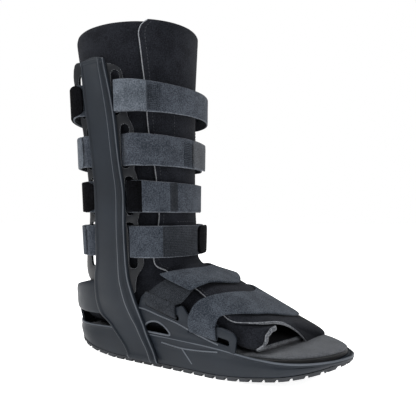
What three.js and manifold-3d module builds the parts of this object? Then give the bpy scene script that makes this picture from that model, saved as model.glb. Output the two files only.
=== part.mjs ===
// A medical walking boot: a rocker base with a heel-and-calf frame, slotted side plates, a foam
// liner, a footbed and six straps. Millimetres, X towards the toe, Y across, Z up.
import * as THREE from 'three';
import { mergeVertices } from 'three/addons/utils/BufferGeometryUtils.js';
import Module from 'manifold-3d';

const wasm = await Module();
wasm.setup();

// Driving dimensions
const soleLength = 350;
const soleWidth = 128;
const bootHeight = 400;
const calfWidth = 134;
const touchGap = 0.3;

// Base tray and outsole
const heelLift = 17;
const toeLift = 20;
const heelRockerEnd = 0.24;
const toeRockerStart = 0.6;
const outsoleThickness = 5;
const trayFloor = 3;
const trayWall = 4;
const trayUndercut = 3;
const lugPitch = 13;
const lugDepth = 2.5;
const lugGroove = 4;

// Footbed
const insoleThickness = 3;
const footbedInset = 7;
const insoleInset = 7.5;

// Frame and side plates
const frameThickness = 5;
const heelCupThickness = 4;
const plateThickness = 3;
const plateInset = 10.3;
const plateSpread = calfWidth / 2 - plateInset;
const plateLean = 0.0727;
const plateRadius = 90;
const plateRim = 5;
const leftPlateLead = 9;

// Straps
const strapWidth = 37;
const strapThickness = 2;
const strapClearance = 0.6;
const slotWidth = 10;
const layerThickness = 1.8;
const footStrapThickness = 2.4;

// Liner
const calfWall = 6;
const footWall = 5;
const flapThickness = 3;
const flapGap = 1.3;

// Wing plates of the base that carry the foot straps
const wingThickness = 3.5;
const wingSlotHeight = 6;

// Reads a column of a table between its rows, along a smooth curve that keeps to its points
function readTable(rows, key, at, column) {
  const last = rows.length - 1;
  if (at <= rows[0][key]) {
    return rows[0][column];
  }
  if (at >= rows[last][key]) {
    return rows[last][column];
  }
  let low = 0;
  while (rows[low + 1][key] < at) {
    low += 1;
  }
  const slope = (i) => {
    const before = rows[Math.max(i - 1, 0)];
    const after = rows[Math.min(i + 1, last)];
    return (after[column] - before[column]) / (after[key] - before[key]);
  };
  const span = rows[low + 1][key] - rows[low][key];
  const t = (at - rows[low][key]) / span;
  const start = rows[low][column];
  const end = rows[low + 1][column];
  const blend = t * t * (3 - 2 * t);
  const bulgeStart = t * (1 - t) * (1 - t) * span * slope(low);
  const bulgeEnd = t * t * (1 - t) * span * slope(low + 1);
  return start + (end - start) * blend + bulgeStart - bulgeEnd;
}

// Reads a column of a table between its rows, along straight lines
function readStraight(rows, key, at, column) {
  const last = rows.length - 1;
  if (at <= rows[0][key]) {
    return rows[0][column];
  }
  if (at >= rows[last][key]) {
    return rows[last][column];
  }
  let low = 0;
  while (rows[low + 1][key] < at) {
    low += 1;
  }
  const t = (at - rows[low][key]) / (rows[low + 1][key] - rows[low][key]);
  return rows[low][column] + (rows[low + 1][column] - rows[low][column]) * t;
}

// Turns a geometry into one closed solid with its faces pointing out
function toManifold(geometry) {
  const bare = new THREE.BufferGeometry();
  bare.setAttribute('position', geometry.getAttribute('position'));
  bare.setIndex(geometry.getIndex());
  const merged = mergeVertices(bare, 1e-4);
  const mesh = new wasm.Mesh({
    numProp: 3,
    vertProperties: new Float32Array(merged.getAttribute('position').array),
    triVerts: new Uint32Array(merged.getIndex().array),
  });
  return new wasm.Manifold(mesh);
}

function fromManifold(solid) {
  const mesh = solid.getMesh();
  const geometry = new THREE.BufferGeometry();
  geometry.setAttribute('position', new THREE.BufferAttribute(new Float32Array(mesh.vertProperties), 3));
  geometry.setIndex(new THREE.BufferAttribute(new Uint32Array(mesh.triVerts), 1));
  return geometry;
}

function join(geometries) {
  return fromManifold(geometries.map(toManifold).reduce((sum, solid) => sum.add(solid)));
}

function cut(geometry, cutters) {
  return fromManifold(cutters.map(toManifold).reduce((rest, solid) => rest.subtract(solid), toManifold(geometry)));
}

// Flips the triangles when the solid's faces point in
function facingOut(positions, triangles) {
  const corner = (i) => new THREE.Vector3(positions[3 * i], positions[3 * i + 1], positions[3 * i + 2]);
  let volume = 0;
  for (let i = 0; i < triangles.length; i += 3) {
    const a = corner(triangles[i]);
    const b = corner(triangles[i + 1]);
    const c = corner(triangles[i + 2]);
    volume += a.dot(b.cross(c));
  }
  const order = volume > 0 ? triangles : [...triangles].reverse();
  const geometry = new THREE.BufferGeometry();
  geometry.setAttribute('position', new THREE.Float32BufferAttribute(positions, 3));
  geometry.setIndex(order);
  return geometry;
}

// Skins closed rings of points into a solid. ends is 'loop' when the last ring meets the first and
// 'strip' when each end is closed across from side to side
function skin(rings, ends) {
  const count = rings[0].length;
  const positions = rings.flatMap((ring) => ring.flatMap((point) => [point.x, point.y, point.z]));
  const triangles = [];
  const bands = ends === 'loop' ? rings.length : rings.length - 1;
  for (let band = 0; band < bands; band += 1) {
    const near = band * count;
    const far = ((band + 1) % rings.length) * count;
    for (let i = 0; i < count; i += 1) {
      const next = (i + 1) % count;
      triangles.push(near + i, near + next, far + next, near + i, far + next, far + i);
    }
  }
  const closeAcross = (first, reversed) => {
    for (let i = 0; i < count / 2 - 1; i += 1) {
      const quad = [first + i, first + i + 1, first + count - 2 - i, first + count - 1 - i];
      const [a, b, c, d] = reversed ? quad : [...quad].reverse();
      triangles.push(a, b, c, a, c, d);
    }
  };
  const lastFirst = (rings.length - 1) * count;
  if (ends === 'strip') {
    closeAcross(0, false);
    closeAcross(lastFirst, true);
  }
  return facingOut(positions, triangles);
}

// Extrudes a flat outline given in X and Z by a depth towards +Y
function sidePanel(points, holes, depth) {
  const shape = new THREE.Shape(points);
  shape.holes = holes.map((hole) => new THREE.Path(hole));
  const geometry = new THREE.ExtrudeGeometry(shape, { depth, bevelEnabled: false });
  geometry.rotateX(Math.PI / 2);
  geometry.translate(0, depth, 0);
  return mergeVertices(stripped(geometry), 1e-4);
}

function stripped(geometry) {
  geometry.deleteAttribute('normal');
  geometry.deleteAttribute('uv');
  return geometry;
}

// Heights of the rocker under the sole and of the tray's rim, along the sole
const heelRockerPower = 1.6;
const toeRockerPower = 1.5;

function rockerHeight(share) {
  if (share < heelRockerEnd) {
    return heelLift * ((heelRockerEnd - share) / heelRockerEnd) ** heelRockerPower;
  }
  if (share > toeRockerStart) {
    return toeLift * ((share - toeRockerStart) / (1 - toeRockerStart)) ** toeRockerPower;
  }
  return 0;
}

const rimRows = [
  { along: 0, height: 0.092 },
  { along: 0.2, height: 0.095 },
  { along: 0.4, height: 0.093 },
  { along: 0.63, height: 0.085 },
  { along: 0.75, height: 0.0735 },
  { along: 0.85, height: 0.07 },
  { along: 1, height: 0.069 },
];
const rimHeight = (share) => bootHeight * readTable(rimRows, 'along', share, 'height');

// The sole's half width, as a share of its widest, with a round heel and a rounded, tapering toe
const widthRows = [
  { along: 0, half: 0.82 },
  { along: 0.15, half: 0.82 },
  { along: 0.33, half: 0.875 },
  { along: 0.5, half: 0.935 },
  { along: 0.68, half: 1 },
  { along: 0.8, half: 0.985 },
  { along: 1, half: 0.96 },
];
const heelRound = 0.15;
const toeRound = 0.2;
const toeRoundPower = 1.8;
const toeTaperPower = 0.714;

function soleHalfWidth(share) {
  const base = soleWidth / 2 * readTable(widthRows, 'along', share, 'half');
  const heelShare = Math.max(0, 1 - share / heelRound);
  const toeShare = Math.max(0, (share - (1 - toeRound)) / toeRound);
  const heel = Math.sqrt(Math.max(0, 1 - heelShare ** 2));
  const toe = Math.max(0, 1 - toeShare ** toeRoundPower) ** toeTaperPower;
  return base * heel * toe;
}

// Places along the sole, closer together at the round ends
const soleStations = 20;
const endShare = 0.004;

function soleShares() {
  const shares = [];
  for (let i = 0; i <= soleStations; i += 1) {
    const even = (1 - Math.cos(Math.PI * i / soleStations)) / 2;
    shares.push(endShare + (1 - 2 * endShare) * even);
  }
  return shares;
}

// A ring round the sole, moved in by inset, at a height that follows the sole
function soleRing(inset, heightAt) {
  const half = soleWidth / 2;
  const near = soleShares().map((share) => new THREE.Vector3(
    inset + (soleLength - 2 * inset) * share,
    -soleHalfWidth(share) * (half - inset) / half,
    heightAt(share),
  ));
  const far = near.map((point) => new THREE.Vector3(point.x, -point.y, point.z)).reverse();
  return [...near, ...far];
}

// The insole's top, along the sole
const insoleRows = [
  { along: 0, height: 0.0775 },
  { along: 0.1, height: 0.0745 },
  { along: 0.28, height: 0.068 },
  { along: 0.48, height: 0.068 },
  { along: 0.65, height: 0.0725 },
  { along: 0.76, height: 0.078 },
  { along: 0.9, height: 0.083 },
  { along: 1, height: 0.087 },
];
const insoleTop = (share) => bootHeight * readTable(insoleRows, 'along', share, 'height');
const trayBottom = (share) => rockerHeight(share) + outsoleThickness;
const trayInside = (share) => trayBottom(share) + trayFloor;

// The wing plate on each side of the base, seen from the side, as shares of length and height
const wingStart = { along: 0.31, across: 0.862 };
const wingEnd = { along: 0.69, across: 1.0 };
const wingRows = [
  { along: 0.31, up: 0.06 },
  { along: 0.6, up: 0.06 },
  { along: 0.685, up: 0.062 },
  { along: 0.692, up: 0.118 },
  { along: 0.68, up: 0.13 },
  { along: 0.64, up: 0.14 },
  { along: 0.6, up: 0.139 },
  { along: 0.55, up: 0.145 },
  { along: 0.522, up: 0.165 },
  { along: 0.51, up: 0.18 },
  { along: 0.5, up: 0.184 },
  { along: 0.488, up: 0.178 },
  { along: 0.38, up: 0.2 },
  { along: 0.36, up: 0.207 },
  { along: 0.345, up: 0.198 },
  { along: 0.335, up: 0.17 },
  { along: 0.318, up: 0.165 },
];
const instepSlot = { start: 0.365, startUp: 0.179, end: 0.492, endUp: 0.147 };
const toeSlot = { start: 0.525, startUp: 0.122, end: 0.668, endUp: 0.101 };
const archRows = [
  { along: 0.352, up: 0.1 },
  { along: 0.463, up: 0.098 },
  { along: 0.435, up: 0.12 },
  { along: 0.405, up: 0.128 },
  { along: 0.375, up: 0.124 },
];

const toSide = (row) => new THREE.Vector2(row.along * soleLength, row.up * bootHeight);

function slotOutline(slot) {
  const start = new THREE.Vector2(slot.start * soleLength, slot.startUp * bootHeight);
  const end = new THREE.Vector2(slot.end * soleLength, slot.endUp * bootHeight);
  const half = wingSlotHeight / 2;
  return [
    new THREE.Vector2(start.x, start.y - half),
    new THREE.Vector2(end.x, end.y - half),
    new THREE.Vector2(end.x, end.y + half),
    new THREE.Vector2(start.x, start.y + half),
  ];
}

// One wing plate, standing along the tray's side; side is -1 for the right and 1 for the left
function wing(side) {
  const holes = [slotOutline(instepSlot), slotOutline(toeSlot), archRows.map(toSide)];
  const panel = sidePanel(wingRows.map(toSide), holes, wingThickness);
  const startX = wingStart.along * soleLength;
  const startY = wingStart.across * soleWidth / 2;
  const run = (wingEnd.along - wingStart.along) * soleLength;
  const rise = (wingEnd.across - wingStart.across) * soleWidth / 2;
  panel.translate(-startX, -wingThickness, 0);
  panel.rotateZ(Math.atan2(rise, run));
  panel.translate(startX, startY, 0);
  if (side < 0) {
    return mirrored(panel);
  }
  return panel;
}

// The same solid on the other side of the middle plane
function mirrored(geometry) {
  const flipped = geometry.clone();
  flipped.scale(1, -1, 1);
  flipped.setIndex([...flipped.getIndex().array].reverse());
  return flipped;
}

const trayBulge = 0.55;
const trayWaist = (share) => trayBottom(share) + (rimHeight(share) - trayBottom(share)) * trayBulge;

function baseTray() {
  const tray = skin([
    soleRing(trayUndercut, trayBottom),
    soleRing(0, trayWaist),
    soleRing(0, rimHeight),
    soleRing(trayWall, rimHeight),
    soleRing(trayWall, trayInside),
  ], 'strip');
  return join([tray, wing(-1), wing(1)]);
}

const outsoleInset = 2.5;
const lugTaper = 1.5;
const grooveReach = 1.2;

// Outsole with cross grooves between its lugs
function outsole() {
  const slab = skin([
    soleRing(outsoleInset + lugTaper, rockerHeight),
    soleRing(outsoleInset, (share) => rockerHeight(share) + lugDepth),
    soleRing(outsoleInset, (share) => trayBottom(share) - touchGap),
  ], 'strip');
  const grooves = [];
  const count = Math.floor(soleLength / lugPitch);
  for (let i = 1; i < count; i += 1) {
    const x = i * soleLength / count;
    const share = x / soleLength;
    const step = 0.01;
    const slope = (rockerHeight(share + step) - rockerHeight(share - step)) / (2 * step * soleLength);
    const groove = new THREE.BoxGeometry(lugGroove, soleWidth * grooveReach, lugDepth * 2);
    groove.rotateY(-Math.atan(slope));
    groove.translate(x, 0, rockerHeight(share));
    grooves.push(mergeVertices(stripped(groove), 1e-4));
  }
  return cut(slab, grooves);
}

function footbedFoam() {
  return skin([
    soleRing(footbedInset, (share) => trayInside(share) + touchGap),
    soleRing(footbedInset, (share) => insoleTop(share) - insoleThickness - touchGap),
  ], 'strip');
}

function insole() {
  return skin([
    soleRing(insoleInset, (share) => insoleTop(share) - insoleThickness),
    soleRing(insoleInset, insoleTop),
  ], 'strip');
}

// The frame's broad band on each side, from the foot of the base to the calf
const bandRows = [
  { up: 0.016, rear: 0.303, front: 0.419 },
  { up: 0.048, rear: 0.284, front: 0.405 },
  { up: 0.083, rear: 0.246, front: 0.383 },
  { up: 0.113, rear: 0.211, front: 0.367 },
  { up: 0.133, rear: 0.18, front: 0.354 },
  { up: 0.165, rear: 0.165, front: 0.336 },
  { up: 0.2, rear: 0.162, front: 0.323 },
  { up: 0.243, rear: 0.163, front: 0.31 },
  { up: 0.29, rear: 0.177, front: 0.304 },
  { up: 0.395, rear: 0.184, front: 0.301 },
  { up: 0.498, rear: 0.188, front: 0.303 },
  { up: 0.573, rear: 0.185, front: 0.293 },
  { up: 0.63, rear: 0.18, front: 0.287 },
  { up: 0.7, rear: 0.171, front: 0.281 },
  { up: 0.768, rear: 0.161, front: 0.271 },
  { up: 0.848, rear: 0.155, front: 0.254 },
  { up: 0.872, rear: 0.155, front: 0.247 },
];

// Height of the band's outer face across its width: a lip at the rear, a shallow panel, two at the front
const bandRelief = [
  { across: 0, rise: 0.55 },
  { across: 0.04, rise: 1 },
  { across: 0.1, rise: 1 },
  { across: 0.13, rise: 0.8 },
  { across: 0.34, rise: 0.8 },
  { across: 0.55, rise: 0.8 },
  { across: 0.76, rise: 0.8 },
  { across: 0.79, rise: 1 },
  { across: 0.87, rise: 1 },
  { across: 0.89, rise: 0.72 },
  { across: 0.94, rise: 0.72 },
  { across: 0.97, rise: 0.62 },
  { across: 1, rise: 0.4 },
];
const bandPeak = 0.014;
const bandPeakAt = 0.62;

const plateFoot = 0.075;
const plateMiddleFoot = 0.26;
const plateMiddleSlope = 0.065;

const plateSide = (z) => plateSpread + plateLean * (z - plateFoot * bootHeight);
const plateMiddle = (z) => soleLength * (plateMiddleFoot - plateMiddleSlope * z / bootHeight);

// Where the middle of a side plate lies, across the boot
function plateAcross(x, z) {
  return plateSide(z) - (x - plateMiddle(z)) ** 2 / (2 * plateRadius);
}

// The band's inner face: it follows the tray low down and the side plate higher up
const frameBlendStart = 0.1;
const frameBlendEnd = 0.2;
const trayStand = 1;

function bandInside(x, z) {
  const share = THREE.MathUtils.smoothstep(z / bootHeight, frameBlendStart, frameBlendEnd);
  const onTray = soleHalfWidth(Math.max(x / soleLength, heelRound)) + trayStand;
  const onPlate = plateAcross(x, z) + plateThickness / 2 + touchGap;
  return onTray + (onPlate - onTray) * share;
}

function band() {
  const rings = bandRows.map((row, index) => {
    const z = row.up * bootHeight;
    const isTop = index === bandRows.length - 1;
    const lift = (across) => (isTop ? bandPeak * bootHeight * (1 - Math.abs(across - bandPeakAt)) : 0);
    const xAt = (across) => soleLength * (row.rear + (row.front - row.rear) * across);
    const outer = bandRelief.map(({ across, rise }) => {
      const x = xAt(across);
      return new THREE.Vector3(x, bandInside(x, z) + frameThickness * rise, z + lift(across));
    });
    const inner = bandRelief.map(({ across }) => {
      const x = xAt(across);
      return new THREE.Vector3(x, bandInside(x, z), z + lift(across));
    });
    return [...outer, ...inner.reverse()];
  });
  return skin(rings, 'strip');
}

// The cup that joins the two bands round the heel
const cupCentre = 0.165;
const cupBack = -0.013;
const cupReach = 0.06;
const cupFoot = 0.133;
const cupTopBack = 0.203;
const cupTopSide = 0.232;
const cupSteps = 12;
const cupStand = 0.7;
const cupTopPower = 4;
const cupRelief = [
  { share: 0, thinner: 1.2 },
  { share: 0.25, thinner: 0.25 },
  { share: 0.6, thinner: 0 },
  { share: 1, thinner: 0.8 },
];

// The cup's way round the heel at one height, and how far each place is turned from the back
function cupPath(z) {
  const centreX = cupCentre * soleLength;
  const sideX = centreX + cupReach * soleLength;
  const across = bandInside(centreX, z) + cupStand;
  const back = centreX - cupBack * soleLength - heelCupThickness;
  const sideY = bandInside(sideX, z) + cupStand;
  const path = [{ x: sideX, y: -sideY, turn: 1 }];
  for (let i = 0; i <= cupSteps; i += 1) {
    const angle = Math.PI * (i / cupSteps - 0.5);
    path.push({
      x: centreX - back * Math.cos(angle),
      y: across * Math.sin(angle),
      turn: Math.abs(Math.sin(angle)),
    });
  }
  path.push({ x: sideX, y: sideY, turn: 1 });
  return path;
}

function heelCup() {
  const rings = [];
  const turns = cupPath(cupFoot * bootHeight).map((place) => place.turn);
  turns.forEach((turn, i) => {
    const top = cupTopBack + (cupTopSide - cupTopBack) * turn ** cupTopPower;
    const outer = [];
    const inner = [];
    for (const { share, thinner } of cupRelief) {
      const z = bootHeight * (cupFoot + (top - cupFoot) * share);
      const path = cupPath(z);
      const before = path[Math.max(i - 1, 0)];
      const after = path[Math.min(i + 1, path.length - 1)];
      const normal = new THREE.Vector2(before.y - after.y, after.x - before.x).normalize();
      const place = path[i];
      const thickness = heelCupThickness - thinner;
      outer.push(new THREE.Vector3(place.x + normal.x * thickness, place.y + normal.y * thickness, z));
      inner.push(new THREE.Vector3(place.x, place.y, z));
    }
    rings.push([...outer, ...inner.reverse()]);
  });
  return skin(rings, 'strip');
}

function calfFrame() {
  return join([mirrored(band()), band(), heelCup()]);
}

// The slotted side plates, behind the bands
const plateRows = [
  { up: 0.205, rear: 0.2, front: 0.327 },
  { up: 0.225, rear: 0.13, front: 0.327 },
  { up: 0.24, rear: 0.112, front: 0.327 },
  { up: 0.26, rear: 0.104, front: 0.33 },
  { up: 0.272, rear: 0.105, front: 0.351 },
  { up: 0.3, rear: 0.111, front: 0.354 },
  { up: 0.397, rear: 0.142, front: 0.346 },
  { up: 0.413, rear: 0.147, front: 0.331 },
  { up: 0.43, rear: 0.15, front: 0.346 },
  { up: 0.525, rear: 0.152, front: 0.343 },
  { up: 0.548, rear: 0.15, front: 0.337 },
  { up: 0.565, rear: 0.148, front: 0.328 },
  { up: 0.58, rear: 0.146, front: 0.334 },
  { up: 0.66, rear: 0.14, front: 0.334 },
  { up: 0.69, rear: 0.135, front: 0.331 },
  { up: 0.71, rear: 0.13, front: 0.314 },
  { up: 0.81, rear: 0.108, front: 0.306 },
  { up: 0.855, rear: 0.101, front: 0.3 },
  { up: 0.872, rear: 0.118, front: 0.275 },
];
const plateSteps = 6;

// The straps round the calf: where their middle is up the boot, where their slots end, their crest
// at the front and rear, and how flat the rear run is
const calfStraps = [
  {
    name: 'calf_strap_1', up: 0.772, slotLow: 0.7165, slotHigh: 0.848,
    frontCrest: 0.488, rearCrest: -0.006, rearFlat: 1.2,
  },
  {
    name: 'calf_strap_2', up: 0.619, slotLow: 0.564, slotHigh: 0.6945,
    frontCrest: 0.46, rearCrest: 0.029, rearFlat: 1.12,
  },
  {
    name: 'calf_strap_3', up: 0.485, slotLow: 0.429, slotHigh: 0.5435,
    frontCrest: 0.452, rearCrest: 0.056, rearFlat: 1.1,
  },
  {
    name: 'calf_strap_4', up: 0.354, slotLow: 0.275, slotHigh: 0.4125,
    frontCrest: 0.468, rearCrest: 0.062, rearFlat: 1,
  },
];

const plateRear = (z) => soleLength * readStraight(plateRows, 'up', z / bootHeight, 'rear');
const plateFront = (z, lead) => soleLength * readStraight(plateRows, 'up', z / bootHeight, 'front') + lead;

// Where the slots for a strap lie; lead is how much further forward this plate's front edge is
function slotPlaces(strap, lead) {
  const z = strap.up * bootHeight;
  return {
    front: plateFront(z, lead) - plateRim - slotWidth / 2,
    rear: plateRear(z) + plateRim + slotWidth / 2,
  };
}

function sidePlate(lead) {
  const rings = plateRows.map((row) => {
    const z = row.up * bootHeight;
    const rear = row.rear * soleLength;
    const front = row.front * soleLength + lead;
    const points = (offset) => {
      const line = [];
      for (let i = 0; i <= plateSteps; i += 1) {
        const x = rear + (front - rear) * i / plateSteps;
        line.push(new THREE.Vector3(x, plateAcross(x, z) + offset, z));
      }
      return line;
    };
    return [...points(plateThickness / 2), ...points(-plateThickness / 2).reverse()];
  });
  const plate = skin(rings, 'strip');
  const slots = calfStraps.flatMap((strap) => {
    const places = slotPlaces(strap, lead);
    const middle = (strap.slotLow + strap.slotHigh) / 2 * bootHeight;
    return [places.front, places.rear].map((x) => {
      const height = (strap.slotHigh - strap.slotLow) * bootHeight;
      const slot = new THREE.BoxGeometry(slotWidth, plateSide(middle), height);
      slot.translate(x, plateSide(middle), middle);
      return mergeVertices(stripped(slot), 1e-4);
    });
  });
  return cut(plate, slots);
}

const slotTurn = 0.8;
const insideSteps = 5;

// The strap's way past a side plate: inside it behind the band, outside it beyond the slots
function strapAtPlate(strap, z, lead) {
  const places = slotPlaces(strap, lead);
  const stand = plateThickness / 2 + strapClearance + strapThickness / 2;
  const inside = (x) => ({ x, y: plateAcross(x, z) - stand });
  const outside = (x) => ({ x, y: plateAcross(x, z) + stand });
  const turn = slotWidth * slotTurn / 2;
  const insideRun = [];
  for (let i = 0; i <= insideSteps; i += 1) {
    const start = places.front - turn;
    insideRun.push(inside(start + (places.rear + turn - start) * i / insideSteps));
  }
  return {
    front: outside(places.front + turn),
    insideRun,
    rear: outside(places.rear - turn),
  };
}

const arcSteps = 10;
const frontArcPower = 1.08;

// Points of a quarter bend from a plate's slot to the crest in the middle plane; a power of 1 is
// an ellipse and more than that is flatter
function quarterArc(start, crestX, side, power) {
  const points = [];
  for (let i = 0; i <= arcSteps; i += 1) {
    const angle = Math.PI / 2 * i / arcSteps;
    points.push(new THREE.Vector2(
      start.x + (crestX - start.x) * Math.sin(angle) ** power,
      side * start.y * Math.max(0, Math.cos(angle)) ** power,
    ));
  }
  return points;
}

function frontArc(strap, z) {
  const crest = strap.frontCrest * soleLength;
  const right = quarterArc(strapAtPlate(strap, z, 0).front, crest, -1, frontArcPower);
  const left = quarterArc(strapAtPlate(strap, z, leftPlateLead).front, crest, 1, frontArcPower).reverse();
  return [...right, ...left.slice(1)];
}

function rearArc(strap, z) {
  const crest = strap.rearCrest * soleLength;
  const right = quarterArc(strapAtPlate(strap, z, 0).rear, crest, -1, strap.rearFlat);
  const left = quarterArc(strapAtPlate(strap, z, leftPlateLead).rear, crest, 1, strap.rearFlat).reverse();
  return [...right, ...left.slice(1)];
}

// The whole way of a calf strap, once round the leg, seen from above
function strapLoop(strap, z) {
  const right = strapAtPlate(strap, z, 0);
  const left = strapAtPlate(strap, z, leftPlateLead);
  const rightInside = right.insideRun.map((p) => new THREE.Vector2(p.x, -p.y)).reverse();
  const leftInside = left.insideRun.map((p) => new THREE.Vector2(p.x, p.y));
  return [...frontArc(strap, z), ...leftInside, ...rearArc(strap, z).reverse(), ...rightInside];
}

// Moves a path sideways by offset, away from the leg
function offsetPath(path, offset, closed) {
  const count = path.length;
  return path.map((point, i) => {
    const before = closed ? path[(i + count - 1) % count] : path[Math.max(i - 1, 0)];
    const after = closed ? path[(i + 1) % count] : path[Math.min(i + 1, count - 1)];
    const into = point.clone().sub(before);
    const out = after.clone().sub(point);
    const along = into.normalize().add(out.normalize()).normalize();
    return new THREE.Vector2(point.x + along.y * offset, point.y - along.x * offset);
  });
}

const atHeight = (path, z) => path.map((point) => new THREE.Vector3(point.x, point.y, z));

function calfStrap(strap) {
  const low = strap.up * bootHeight - strapWidth / 2;
  const high = strap.up * bootHeight + strapWidth / 2;
  const half = strapThickness / 2;
  return skin([
    atHeight(offsetPath(strapLoop(strap, low), half, true), low),
    atHeight(offsetPath(strapLoop(strap, high), half, true), high),
    atHeight(offsetPath(strapLoop(strap, high), -half, true), high),
    atHeight(offsetPath(strapLoop(strap, low), -half, true), low),
  ], 'loop');
}

// Layers that lie on the straps: tabs, end pieces and pile pads
const layers = [
  { name: 'strap_1_tab', strap: 0, arc: frontArc, from: 0, to: 3, flare: 0 },
  { name: 'strap_2_end', strap: 1, arc: frontArc, from: 9, to: 14, flare: 1 },
  { name: 'strap_3_tab', strap: 2, arc: frontArc, from: 2, to: 5, flare: 0 },
  { name: 'strap_3_end', strap: 2, arc: frontArc, from: 7, to: 13, flare: 0 },
  { name: 'strap_4_tab', strap: 3, arc: frontArc, from: 0, to: 4, flare: 0 },
  { name: 'strap_4_pad', strap: 3, arc: frontArc, from: 10, to: 15, flare: 0 },
  { name: 'strap_1_rear_pad', strap: 0, arc: rearArc, from: 0, to: 10, flare: 0 },
  { name: 'strap_2_rear_tab', strap: 1, arc: rearArc, from: 1, to: 8, flare: 0 },
  { name: 'strap_3_rear_pad', strap: 2, arc: rearArc, from: 0, to: 10, flare: 0 },
  { name: 'strap_4_rear_tab', strap: 3, arc: rearArc, from: 1, to: 8, flare: 0 },
];
const layerTrim = 0.5;
const layerFlare = 2.5;
const flarePower = 3;

function strapLayer(layer) {
  const strap = calfStraps[layer.strap];
  const sign = layer.arc === rearArc ? -1 : 1;
  const low = strap.up * bootHeight - strapWidth / 2 + layerTrim;
  const high = strap.up * bootHeight + strapWidth / 2 - layerTrim;
  const stand = strapThickness / 2 + touchGap;
  const side = (z, offset) => {
    const path = layer.arc(strap, z).slice(layer.from, layer.to + 1);
    const last = path.length - 1;
    return offsetPath(path, sign * offset, false).map((point, i) => {
      const lift = layer.flare * layerFlare * (i / last) ** flarePower;
      return new THREE.Vector3(point.x + lift, point.y, z);
    });
  };
  const lowIn = side(low, stand);
  const lowOut = side(low, stand + layerThickness);
  const highOut = side(high, stand + layerThickness);
  const highIn = side(high, stand);
  return skin(lowIn.map((point, i) => [point, lowOut[i], highOut[i], highIn[i]]), 'strip');
}

// The liner, from the calf's rim down round the heel and along the foot. Each row is one section
// between a point on the shin or instep and one on the calf, heel or sole, with its half width and
// how square it is
const linerRows = [
  { frontAt: 0.441, frontUp: 1.0, backAt: -0.026, backUp: 1.0, half: 1.0, square: 2 },
  { frontAt: 0.438, frontUp: 0.94, backAt: -0.014, backUp: 0.94, half: 0.975, square: 2 },
  { frontAt: 0.434, frontUp: 0.875, backAt: -0.002, backUp: 0.875, half: 0.955, square: 2 },
  { frontAt: 0.429, frontUp: 0.79, backAt: 0.012, backUp: 0.79, half: 0.94, square: 2 },
  { frontAt: 0.43, frontUp: 0.68, backAt: 0.036, backUp: 0.68, half: 0.92, square: 2 },
  { frontAt: 0.43, frontUp: 0.55, backAt: 0.066, backUp: 0.55, half: 0.88, square: 2 },
  { frontAt: 0.434, frontUp: 0.43, backAt: 0.088, backUp: 0.42, half: 0.84, square: 2 },
  { frontAt: 0.44, frontUp: 0.35, backAt: 0.08, backUp: 0.31, half: 0.8, square: 2.1 },
  { frontAt: 0.447, frontUp: 0.3, backAt: 0.045, backUp: 0.235, half: 0.77, square: 2.2 },
  { frontAt: 0.46, frontUp: 0.282, backAt: 0.012, backUp: 0.175, half: 0.755, square: 2.3 },
  { frontAt: 0.474, frontUp: 0.274, backAt: 0.022, backUp: 0.108, half: 0.745, square: 2.4 },
  { frontAt: 0.488, frontUp: 0.268, backAt: 0.1, backUp: 0.0775, half: 0.745, square: 2.4 },
  { frontAt: 0.503, frontUp: 0.262, backAt: 0.26, backUp: 0.0715, half: 0.755, square: 2.4 },
  { frontAt: 0.523, frontUp: 0.255, backAt: 0.42, backUp: 0.0715, half: 0.765, square: 2.4 },
  { frontAt: 0.56, frontUp: 0.243, backAt: 0.54, backUp: 0.0735, half: 0.785, square: 2.5 },
  { frontAt: 0.62, frontUp: 0.217, backAt: 0.62, backUp: 0.0755, half: 0.81, square: 2.4 },
  { frontAt: 0.69, frontUp: 0.186, backAt: 0.68, backUp: 0.078, half: 0.8, square: 2.3 },
  { frontAt: 0.755, frontUp: 0.16, backAt: 0.74, backUp: 0.0805, half: 0.76, square: 2.3 },
  { frontAt: 0.815, frontUp: 0.14, backAt: 0.805, backUp: 0.0835, half: 0.7, square: 2.3 },
];

// How the sections lie towards the toes: skewed forward on the left, their top leaning down to the
// left, shifted across, and with a squarer lower half
const forefootRows = [
  { section: 11, skew: 0, lean: 0, shift: 0, squarer: 0 },
  { section: 14, skew: 0, lean: 0, shift: 0, squarer: 0.8 },
  { section: 15, skew: 0.05, lean: 0.05, shift: 0, squarer: 1.2 },
  { section: 16, skew: 0.15, lean: 0.1, shift: -0.01, squarer: 1.8 },
  { section: 17, skew: 0.3, lean: 0.14, shift: -0.03, squarer: 2.4 },
  { section: 18, skew: 0.5, lean: 0.16, shift: -0.06, squarer: 3 },
  { section: 20, skew: 0.5, lean: 0.3, shift: -0.1, squarer: 3 },
];
const linerSides = 26;

// The foot's sections keep to the sole's width, the calf's to the calf's
const footPerSole = 1.046875;
const lastCalfSection = 7;
const firstFootSection = 10;
const calfRowCount = 7;

// One place on a liner section, stand away from its surface; turn 0 is the shin or instep, minus
// is towards the right side
function linerPlace(row, turn, stand) {
  const front = new THREE.Vector3(row.frontAt * soleLength, 0, row.frontUp * bootHeight);
  const back = new THREE.Vector3(row.backAt * soleLength, 0, row.backUp * bootHeight);
  const middle = front.clone().add(back).divideScalar(2);
  const axis = front.clone().sub(back).divideScalar(2);
  const reach = axis.length();
  axis.multiplyScalar((reach + stand) / reach);
  const width = THREE.MathUtils.lerp(calfWidth, soleWidth * footPerSole, row.onFoot);
  const half = row.half * width / 2 + stand;
  const power = 2 / (row.square + (Math.cos(turn) < 0 ? row.squarer : 0));
  const along = Math.sign(Math.cos(turn)) * Math.abs(Math.cos(turn)) ** power;
  const across = Math.sign(Math.sin(turn)) * Math.abs(Math.sin(turn)) ** power;
  const place = middle.addScaledVector(axis, along);
  place.y = half * across;
  place.x += row.skew * place.y;
  place.z -= row.lean * place.y * (1 + along) / 2;
  place.y += row.shift * width / 2;
  return place;
}

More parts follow.
